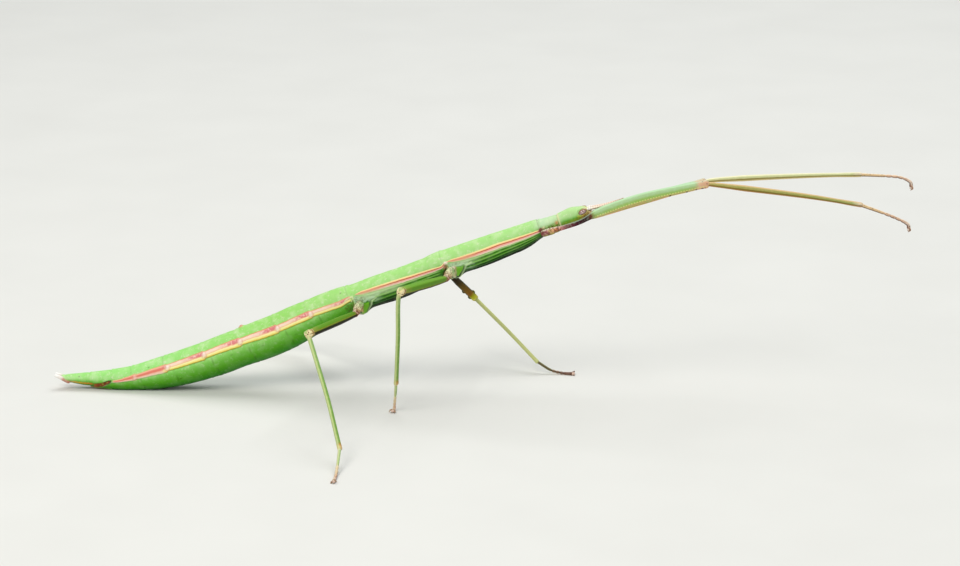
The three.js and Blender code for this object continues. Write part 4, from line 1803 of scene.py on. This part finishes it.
@dataclass
class Leg:
    """One leg, from its hip to its claws, with its joints in the insect's own place.

    Attributes:
        name: The leg's name in the frame.
        kind: Which kind of leg it is.
        coxa: Hip, and end of the coxa.
        femur: Bends of the femur and the knee.
        tibia: Bends of the tibia and the ankle.
        tarsus: Bends of the foot and its tip.
        teeth: Whether the femur has two dark teeth before its knee.
    """

    name: str
    kind: Kind
    coxa: Table
    femur: Table
    tibia: Table
    tarsus: Table
    teeth: bool = False

    SLOTS = {
        Part.COXA: Slot.COXA, Part.FEMUR: Slot.LEG, Part.TIBIA: Slot.LEG, Part.TARSUS: Slot.TARSUS,
    }
    SUNK = 0.35  # how far the coxa reaches into the body behind the hip
    FOOT_SIZES = (
        (0, 0.46, 0.42), (0.08, 0.4, 0.36), (0.42, 0.34, 0.34), (0.5, 0.37, 0.38),
        (0.62, 0.37, 0.38), (0.8, 0.36, 0.38), (0.92, 0.38, 0.4), (1, 0.44, 0.48),
    )
    SIZES = {
        Kind.FORE: {
            Part.COXA: ((0, 0.8, 0.75), (0.5, 0.86, 0.8), (1, 0.6, 0.58)),
            Part.FEMUR: ((0, 0.52, 0.5), (0.17, 0.52, 0.5), (0.215, 0.66, 0.56), (0.25, 0.98, 0.74),
                (0.3, 1.22, 0.86), (0.6, 1.26, 0.88), (0.88, 1.04, 0.84),
                (0.94, 0.94, 0.82), (1, 1.0, 0.9)),
            Part.TIBIA: ((0, 0.5, 0.5), (0.12, 0.6, 0.58), (0.25, 0.74, 0.66), (0.5, 0.66, 0.6),
                (0.85, 0.52, 0.5), (0.96, 0.6, 0.56), (1, 0.58, 0.54)),
            Part.TARSUS: FOOT_SIZES,
        },
        Kind.WALKING: {
            Part.COXA: ((0, 1.0, 1.0), (0.6, 1.08, 1.05), (1, 0.82, 0.8)),
            Part.FEMUR: ((0, 0.68, 0.66), (0.15, 0.86, 0.82), (0.35, 1.0, 0.94), (0.85, 1.0, 0.94),
                (0.93, 0.9, 0.86), (1, 1.0, 0.94)),
            Part.TIBIA: ((0, 0.64, 0.6), (0.04, 0.52, 0.5), (0.12, 0.52, 0.5), (0.85, 0.5, 0.48),
                (0.95, 0.52, 0.5), (1, 0.6, 0.54)),
            Part.TARSUS: FOOT_SIZES,
        },
    }
    TUBES = {
        Part.COXA: dict(ridges=((0, 0.05), (100, 0.05), (-100, 0.05), (180, 0.04)), knots=(0.7,),
                pinch=0.14, rings=70, sides=36),
        Part.FEMUR: dict(ridges=((38, 0.025), (-38, 0.025), (142, 0.05), (-142, 0.05), (180, 0.03)),
                square=2.6, rings=240, sides=40, domes=(1.0, 0.8)),
        Part.TIBIA: dict(ridges=((0, 0.025), (130, 0.03), (-130, 0.03), (180, 0.025)), square=2.6,
                rings=240, sides=32, domes=(1.1, 0.9)),
        Part.TARSUS: dict(ridges=((180, 0.03),), knots=(0.46, 0.57, 0.68, 0.78), pinch=0.32,
                square=2.0, rings=150, sides=28),
    }
    # [ahead of the knee, above it, share whose colour it has, half its size]
    LOBES = ((0.02, 0.04, 1.0, (0.36, 0.13, 0.32)), (-0.12, -0.34, 0.985, (0.22, 0.15, 0.18)),
             (-0.06, -0.18, 0.96, (0.31, 0.155, 0.08)))
    LOBE_APART = 0.29  # from the femur's middle line
    TEETH = ((0.65, 1), (0.87, -1), (0.91, 1))  # share of the femur, and which of its edges
    TOOTH = (0.24, 0.3, 0.25)  # half its size
    TOOTH_OUT = 0.38  # from the femur's middle line
    PAD = (0.26, 0.24, 0.17)  # half its size
    PAD_AHEAD = 0.22  # in front of the tarsus
    PAD_DROP = 0.05  # below its middle line
    PAD_CLEAR = 0.18  # its middle above the claws' lowest level
    CLEAR = 0.05  # that level above the floor
    # [ahead, apart, up] from the tarsus to the claw's root, knee and tip
    CLAW_STEPS = ((0.0, 0.12, 0.06), (0.3, 0.2, 0.05), (0.16, 0.06, -0.3))
    CLAW_SIZES = ((0, 0.24, 0.24), (0.5, 0.19, 0.18), (1, 0.07, 0.07))

    def paths(self) -> dict[Part, list[Vector]]:
        """Middle lines of the leg's pieces.

        Returns:
            The points of each.
        """
        low = FLOOR if self.kind is Kind.FORE else FOOT_HEIGHT
        foot = [(x, y, max(z, low)) for x, y, z in self.tarsus]
        chain = {
            Part.COXA: self.coxa, Part.FEMUR: (self.coxa[-1], *self.femur),
            Part.TIBIA: (self.femur[-1], *self.tibia), Part.TARSUS: (self.tibia[-1], *foot),
        }
        return {part: [Vector(spot) for spot in path] for part, path in chain.items()}

    def build(self, finishes: dict[Part, Material]) -> list[Piece]:
        """Builds the leg's four pieces in place of its nodes.

        Args:
            finishes: The material of each.

        Returns:
            The pieces.
        """
        paths = self.paths()
        coxa, femur, tibia, _ = paths.values()
        bend = (femur[-1] - femur[-2]).cross(tibia[1] - tibia[0])
        across = LEFTWARD if self.kind is Kind.FORE else bend.normalized()
        coxa[0] += (coxa[0] - coxa[1]).normalized() * self.SUNK
        extras = {Part.FEMUR: self._knee, Part.TARSUS: self._claws}
        pieces = []
        for part, path in paths.items():
            meshes = [Tube(path, across, self.SIZES[self.kind][part], **self.TUBES[part]).build()]
            if part in extras:
                meshes += extras[part](path, across)
            skin, node = join(meshes), f"{part.value}_{self.name}"
            pieces.append(place_piece(f"{node}_skin", skin, finishes[part], [node]))
        return pieces

    def _end(self, path: Course, across: Vector) -> tuple[Vector, Vector, Vector]:
        """Directions onward, to the side and up at the end of a middle line.

        Args:
            path: The middle line.
            across: Direction of its breadth.

        Returns:
            The three directions.
        """
        reach = (path[-1] - path[-2]).normalized()
        side = (across - reach * across.dot(reach)).normalized()
        return reach, side, reach.cross(side)

    def _knee(self, path: Course, across: Vector) -> list[Mesh]:
        """The two lobes beside the knee and, on some femurs, the dark teeth before it.

        Args:
            path: The middle line.
            across: Direction of its breadth.

        Returns:
            Their closed meshes.
        """
        reach, side, up = self._end(path, across)
        turn = Matrix((reach, side, up)).transposed()
        parts = []
        for sign, (ahead, level, share, half) in product((-1, 1), self.LOBES):
            centre = path[-1] + side * sign * self.LOBE_APART + reach * ahead + up * level
            marks = {"share": share, "keel": 0.0, "reach": 0.0}
            parts.append(bead(centre, Vector(half), turn, marks))
        if self.teeth:
            parts += [self._tooth(path, side * sign, share) for share, sign in self.TEETH]
        return parts

    def _tooth(self, path: Course, out: Vector, share: float) -> Mesh:
        """One small black tooth on an edge of the femur.

        Args:
            path: The femur's middle line.
            out: Direction in which the tooth stands out.
            share: Where on the femur it stands.

        Returns:
            Its closed mesh.
        """
        reach = (path[-1] - path[-2]).normalized()
        foot = path[-2].lerp(path[-1], share) + out * self.TOOTH_OUT
        marks = {"share": 0.0, "keel": -0.35, "reach": 0.0}
        turn = Matrix((reach, out.cross(reach), out)).transposed()
        return bead(foot, Vector(self.TOOTH), turn, marks)

    def _claws(self, path: Course, across: Vector) -> list[Mesh]:
        """The round pad at the foot's tip and the two claws beside it.

        Args:
            path: The middle line.
            across: Direction of its breadth.

        Returns:
            Their closed meshes.
        """
        reach, side, up = self._end(path, across)
        low = FLOOR + self.CLEAR
        turn = Matrix((reach, side, up)).transposed()
        pad = path[-1] + reach * self.PAD_AHEAD - up * self.PAD_DROP
        pad.z = max(pad.z, low + self.PAD_CLEAR)
        marks = {"share": 0.95, "keel": 0.3, "reach": 0.0}
        parts = [bead(pad, Vector(self.PAD), turn, marks)]
        for sign in (-1, 1):
            course = [path[-1]]
            for ahead, apart, rise in self.CLAW_STEPS:
                course.append(course[-1] + reach * ahead + side * sign * apart + up * rise)
            for spot in course[1:]:
                spot.z = max(spot.z, low)
            tube = Tube(course[1:], side, self.CLAW_SIZES, square=2.0, rings=36, sides=12)
            claw = tube.build()
            layer = claw.verts.layers.float["share"]
            for corner in claw.verts:
                corner[layer] = 1.0
            parts.append(claw)
        return parts


# ---- Leg places and colours ----

LEGS = (
    Leg(
        "fore_right", Kind.FORE,
        coxa=((8.45, -1.72, 21.45), (10.1, -1.82, 22.02)),
        femur=((12.7, -1.6, 22.84), (14.3, -1.12, 23.55), (16.3, -0.74, 24.28),
               (20.35, -0.66, 25.66), (28.7, -0.66, 27.6)),
        tibia=((32.9, -1.8, 27.4), (41.85, -4.2, 26.85), (47.8, -5.75, 26.25)),
        tarsus=((51.35, -5.9, 24.97), (52.55, -5.9, 24.45), (53.4, -5.9, 24.03),
                (53.85, -5.9, 23.65), (53.9, -5.9, 23.35)),
    ),
    Leg(
        "fore_left", Kind.FORE,
        coxa=((8.45, 1.72, 21.35), (10.1, 1.82, 21.9)),
        femur=((12.7, 1.6, 22.55), (14.3, 1.12, 23.08), (16.3, 0.74, 23.8),
               (20.4, 0.66, 25.1), (28.5, 0.66, 27.45)),
        tibia=((29.3, 0.9, 27.6), (33.2, 1.8, 27.65), (42.7, 4.2, 27.4), (49.0, 5.75, 27.1)),
        tarsus=((53.0, 5.9, 26.86), (54.0, 5.9, 26.75), (54.95, 5.9, 26.45),
                (55.6, 5.9, 26.0), (55.68, 5.9, 25.55)),
    ),
    Leg(
        "mid_right", Kind.WALKING,
        coxa=((-3.9, -1.95, 16.2), (-4.35, -2.65, 15.62)),
        femur=((-9.9, -11.85, 16.75),),
        tibia=((-10.14, -11.8, 16.05), (-10.3, -11.1, 10.3), (-10.6, -9.9, 4.0)),
        tarsus=((-10.75, -9.3, 2.0), (-10.85, -8.95, 0.8), (-10.9, -9.05, 0),
                (-11.0, -9.45, 0)),
    ),
    Leg(
        "mid_left", Kind.WALKING,
        coxa=((-3.8, 1.3, 14.9), (-3.8, 2.4, 14.6)),
        femur=((-0.8, 11.0, 8.95),),
        tibia=((3.55, 8.6, 5.15), (7.5, 6.2, 1.55)),
        tarsus=((9.4, 5.7, 0.5), (11.1, 5.4, 0), (12.0, 5.2, 0)),
        teeth=True,
    ),
    Leg(
        "hind_right", Kind.WALKING,
        coxa=((-15.5, -2.15, 11.75), (-15.95, -2.8, 10.95)),
        femur=((-21.2, -16.85, 12.8),),
        tibia=((-19.85, -20.2, 9.65), (-18.5, -23.8, 6.5), (-16.95, -28.5, 2.05)),
        tarsus=((-17.1, -31.1, 0.95), (-17.25, -33.0, 0.25), (-17.4, -34.7, 0)),
    ),
    Leg(
        "hind_left", Kind.WALKING,
        coxa=((-15.3, 1.5, 10.1), (-15.9, 2.6, 9.85)),
        femur=((-23.7, 13.9, 5.0),),
        tibia=((-30.5, 14.53, 2.8), (-37.1, 14.2, 0.95)),
        tarsus=((-38.9, 13.5, 0.35), (-40.5, 12.4, 0), (-41.1, 11.5, 0)),
        teeth=True,
    ),
)

COXA_FINISH = LimbFinish(
    "coxa_skin",
    ground=((0, 0x96BA74), (0.3, 0xC6CE92), (0.55, 0xD8C892), (0.74, 0xC49264), (0.84, 0x703824),
        (0.92, 0xDEB096), (1, 0x8C5436)),
    crest=0xEEE8C4, edge=0xA66438, speckle=0x60361C, speckled=0.25, edge_span=(-0.05, -0.45, -1.3),
    end_spots=0.6, creased=0.5, crested=0.5,
)
FORE_COXA_FINISH = LimbFinish(
    "fore_coxa_skin",
    ground=((0, 0x783A38), (0.16, 0xA05C5C), (0.27, 0xB07470), (0.36, 0xC8B270), (0.6, 0xE2A876),
        (0.84, 0xCE8254), (0.93, 0x6E3624), (1, 0xD69680)),
    crest=0xE8E2C4, edge=0x929834, edge_span=(-0.1, -0.5, -1.3), speckle=0x6E3224, speckled=0.5,
    end_spots=0.7, creased=0.8, crested=0.75, edged=0.7,
)
FORE_FEMUR_FINISH = LimbFinish(
    "fore_femur_skin",
    ground=((0, 0xC88682), (0.04, 0x7C3C42), (0.12, 0x3E1420), (0.19, 0x300E14), (0.22, 0x6E462C),
        (0.245, 0x98B864), (0.5, 0x96BC58), (0.88, 0x96B85E), (0.925, 0xA6B470), (0.955, 0xDCB492),
        (1, 0xD8A886)),
    upper=0xB2D2A0, crest=0xC2E4C4, edge=0xE2A47A, belly=((0.5, 0x62361E),), trim=0xD6E284,
    edge_span=(-0.66, -0.76, -0.99), trimmed=0.85, trim_level=-0.36, crested=0.4, edged=0.95,
    speckled=0.03, end_spots=0.7, nicks=(0.757, 0.868, 0.93, 0.972, 0.99), base=0.235, gloss=0.1,
)
NEAR_FORE_TIBIA_FINISH = LimbFinish(
    "near_fore_tibia_skin",
    ground=((0, 0xCE966E), (0.05, 0xA8A04C), (0.5, 0x969E4A), (0.94, 0x96AA60), (1, 0xE2CCAE)),
    upper=0xA49E54, crest=0xD6B07C, edge=0x70540E, belly=((0.5, 0xB87C3C),), edge_span=(0.1, -0.1, -0.5),
    crested=0.8, speckled=0.02, end_spots=0.3,
)
FORE_TIBIA_FINISH = LimbFinish(
    "fore_tibia_skin",
    ground=((0, 0xE0BE9C), (0.04, 0xD2CA8E), (0.5, 0xCED08E), (0.94, 0xC4CA8C), (1, 0xE4D0B4)),
    upper=0xD2D69E, crest=0xECE6C0, edge=0x847226, belly=((0.5, 0xD6C082),), edge_span=(0.2, -0.02, -0.4),
    crested=0.8, edged=0.85, speckled=0.02, end_spots=0.3,
)
# The near-black line along the femur's lower edge is painted shade, the shadow below the femur.
FEMUR_FINISH = LimbFinish(
    "walking_femur_skin",
    ground=((0, 0x96704A), (0.07, 0x608C24), (0.8, 0x629622), (0.93, 0x8C963C), (0.95, 0xD6BE8C),
        (0.96, 0x703E20), (0.975, 0xCEA668), (0.99, 0xF4E2A6), (1, 0xF6E6B8)),
    crest=0x70A438, edge=0x1C1204, trim=0xB08632, speckle=0x603C20, edge_span=(-0.3, -0.56, -1.3),
    trimmed=0.75, trim_level=-0.24, edged=0.98, speckled=0.16, end_spots=1.0, gloss=0.08, tip=0.94,
)
# The far walking femurs: green above and golden brown below, with a broad near-black band between them
# that is painted shade.
PAINTED_SHADE_FEMUR_FINISH = LimbFinish(
    "painted_shade_femur_skin",
    ground=((0, 0x685C1E), (0.12, 0x587A1E), (0.8, 0x5C8A20), (0.88, 0xA0A63C), (1, 0xD8C482)),
    crest=0x70A038, edge=0x1A1202, speckle=0x281A06,
    belly=((0, 0x1E1402), (0.25, 0x342604), (0.42, 0x604A08), (0.62, 0x78540C), (0.76, 0x885C14),
        (0.84, 0xA09C18), (0.93, 0xBEBE2C), (1, 0xD6CE78)),
    edge_span=(0.2, -0.02, -0.66), speckled=0.2, end_spots=0.4, edged=0.96, gloss=0.03, tip=0.93,
)
TIBIA_FINISH = LimbFinish(
    "walking_tibia_skin",
    ground=((0, 0xEACCA6), (0.03, 0xCEBE8C), (0.07, 0x8CB062), (0.5, 0x729E3C), (0.95, 0x78A042),
        (0.972, 0xBA8C3C), (1, 0xD8BA82)),
    crest=0xCCD492, edge=0x5C5018, edge_span=(-0.35, -0.6, -1.15), crested=0.7, speckled=0.0,
    end_spots=0.2,
)
# The far walking tibias: painted light, paler than the near ones to lift the shade they stand in.
LIGHTENED_FAR_TIBIA_FINISH = LimbFinish(
    "painted_light_tibia_skin",
    ground=((0, 0xCED68C), (0.03, 0xD8DCAA), (0.1, 0xB4CE78), (0.5, 0xAACA6C), (0.94, 0xACCC6E),
        (0.97, 0xDEB060), (1, 0xE8CE96)),
    crest=0xD8DEA6, edge=0x5A8C28, belly=((0.5, 0xC4C882),), edge_span=(0.35, 0.1, -0.4), speckled=0.0,
    end_spots=0.2,
)
TARSUS_FINISH = LimbFinish(
    "tarsus_skin",
    ground=((0, 0xECE2B8), (0.08, 0xA4C47A), (0.42, 0xA6C074), (0.5, 0xDECCA0), (0.66, 0xD6BA92),
        (0.8, 0xC49478), (0.95, 0xD6B8A6), (1, 0x86583E)),
    crest=0xDECEA8, edge=0x542E1A, edge_span=(-0.2, -0.6, -1.3), crested=0.5, edged=0.85, speckled=0.4,
    nicks=(0.46, 0.57, 0.68, 0.78), nick=0.018,
)
FORE_TARSUS_FINISH = LimbFinish(
    "fore_tarsus_skin",
    ground=((0, 0xD8AA82), (0.06, 0xD6B888), (0.4, 0xD4B286), (0.5, 0xD2AA8C), (0.8, 0xCCA88E),
        (0.95, 0xE2CCBA), (1, 0xAA8268)),
    crest=0xF6E4C4, edge=0x60341E, edge_span=(-0.2, -0.6, -1.3), crested=0.8, edged=0.85, speckled=0.4,
    end_spots=0.7, nicks=(0.46, 0.57, 0.68, 0.78, 0.9), nick=0.018,
)
MOUTH_FINISH = LimbFinish(
    "mouth_skin",
    ground=((0, 0xC4AA58), (0.5, 0xD6B876), (1, 0xE8CC9A)),
    crest=0xECDEB0, edge=0x966838, speckle=0x704228, speckled=0.3, end_spots=0.3, crested=0.4, edged=0.5,
)
CERCUS_FINISH = LimbFinish(
    "cercus_skin",
    ground=((0, 0xB87C62), (0.42, 0xC89682), (0.6, 0xF0E4DA), (1, 0xFAFAF6)),
    crest=0xF4E6DC, edge=0xA06E5A, crested=0.3, edged=0.4, end_spots=0.0, speckled=0.0,
)
OPERCULUM_FINISH = LimbFinish(
    "operculum_skin",
    ground=((0, 0xB0965C), (0.4, 0x8CA04E), (1, 0x6EA03E)),
    crest=0x96C464, edge=0x5A6E1E, speckle=0x3C5014, edged=0.5,
)


def build_legs() -> None:
    """Builds the six legs with their finishes."""
    walking = [COXA_FINISH, FEMUR_FINISH, TIBIA_FINISH, TARSUS_FINISH]
    fore = [FORE_COXA_FINISH, FORE_FEMUR_FINISH, FORE_TIBIA_FINISH, FORE_TARSUS_FINISH]
    plain = dict(zip(Part, (finish.make() for finish in walking)))
    far = dict(zip(Part, (finish.make() for finish in fore)))
    near = {**far, Part.TIBIA: NEAR_FORE_TIBIA_FINISH.make()}
    # The far legs' copies: the femur with painted shade, the tibia with painted light.
    far_painted_light_and_shade = {Part.FEMUR: PAINTED_SHADE_FEMUR_FINISH.make(), Part.TIBIA: LIGHTENED_FAR_TIBIA_FINISH.make()}
    for leg in LEGS:
        if leg.kind is Kind.FORE:
            leg.build(near if leg.name == "fore_right" else far)
        else:
            leg.build({**plain, **far_painted_light_and_shade} if leg.teeth else plain)


# ---- The studio ----


@dataclass(frozen=True)
class Light:
    """A square soft light that faces the insect: its place, its side, its watts and its tint."""

    name: str
    spot: Triple
    size: float
    power: float
    tint: Triple


@dataclass
class Studio:
    """A pale floor, soft lights and the camera. Sizes here are metres."""

    floor_size: float = 6.0
    camera_spot: Triple = (-0.00025, -0.37257, 0.13119)
    camera_tip: float = 73.0  # tipped up from looking straight down
    lens: float = 116.85
    sensor: float = 36.0
    clip_start: float = 0.01
    sky: Triple = (0.86, 0.9, 0.94)
    sky_strength: float = 0.38
    lights: Sequence[Light] = (
        Light("key_light", (-0.22, -0.3, 0.5), 0.34, 2.3, (1.0, 0.98, 0.94)),
        Light("top_light", (0.1, 0.25, 0.55), 0.4, 2.15, (0.96, 0.98, 1.0)),
        Light("fill_light", (0.4, -0.4, 0.2), 0.5, 0.42, (0.95, 0.98, 1.0)),
    )

    def build(self) -> None:
        """Sets up the floor, the sky, the lights and the camera."""
        self._floor()
        self._sky()
        for light in self.lights:
            self._hang(light)
        self._camera()

    def _floor(self) -> None:
        """Lays the floor."""
        mesh = bmesh.new()
        bmesh.ops.create_grid(mesh, x_segments=1, y_segments=1, size=self.floor_size / 2)
        data = bpy.data.meshes.new("studio_floor")
        mesh.to_mesh(data)
        mesh.free()
        data.materials.append(FloorFinish().make())
        floor = bpy.data.objects.new("studio_floor", data)
        bpy.context.scene.collection.objects.link(floor)

    def _sky(self) -> None:
        """Gives the room its soft even light."""
        world = bpy.data.worlds.new("studio_sky")
        world.use_nodes = True
        light = world.node_tree.nodes["Background"]
        light.inputs["Color"].default_value = (*self.sky, 1.0)
        light.inputs["Strength"].default_value = self.sky_strength
        bpy.context.scene.world = world

    def _hang(self, light: Light) -> None:
        """Hangs one light.

        Args:
            light: The light.
        """
        data = bpy.data.lights.new(light.name, "AREA")
        data.size = light.size
        data.energy = light.power
        data.color = light.tint
        lamp = bpy.data.objects.new(light.name, data)
        lamp.location = light.spot
        lamp.rotation_euler = (-Vector(light.spot)).to_track_quat("-Z", "Y").to_euler()
        bpy.context.scene.collection.objects.link(lamp)

    def _camera(self) -> None:
        """Sets up the camera and the plain look of the picture."""
        data = bpy.data.cameras.new("camera")
        data.lens = self.lens
        data.sensor_width = self.sensor
        data.clip_start = self.clip_start
        camera = bpy.data.objects.new("camera", data)
        camera.location = self.camera_spot
        camera.rotation_euler = Euler((math.radians(self.camera_tip), 0.0, 0.0))
        bpy.context.scene.collection.objects.link(camera)
        bpy.context.scene.camera = camera
        bpy.context.scene.view_settings.view_transform = "Standard"


def main() -> None:
    """Builds the studio, then the insect from its trunk outward."""
    logging.basicConfig(level=logging.INFO, format="%(name)s %(message)s")
    Studio().build()
    body = Body()
    body.build(SkinFinish().make())
    eye, feeler = EyeFinish().make(), FeelerFinish().make()
    mouth, cercus = MOUTH_FINISH.make(), CERCUS_FINISH.make()
    for side in Side:
        Eye(side, body).build(eye)
        Antenna(side, body).build(feeler)
        Mouthparts(side, body).build(mouth)
        Cercus(side).build(cercus)
    Operculum(body).build(OPERCULUM_FINISH.make())
    build_legs()


if __name__ == "__main__":
    main()
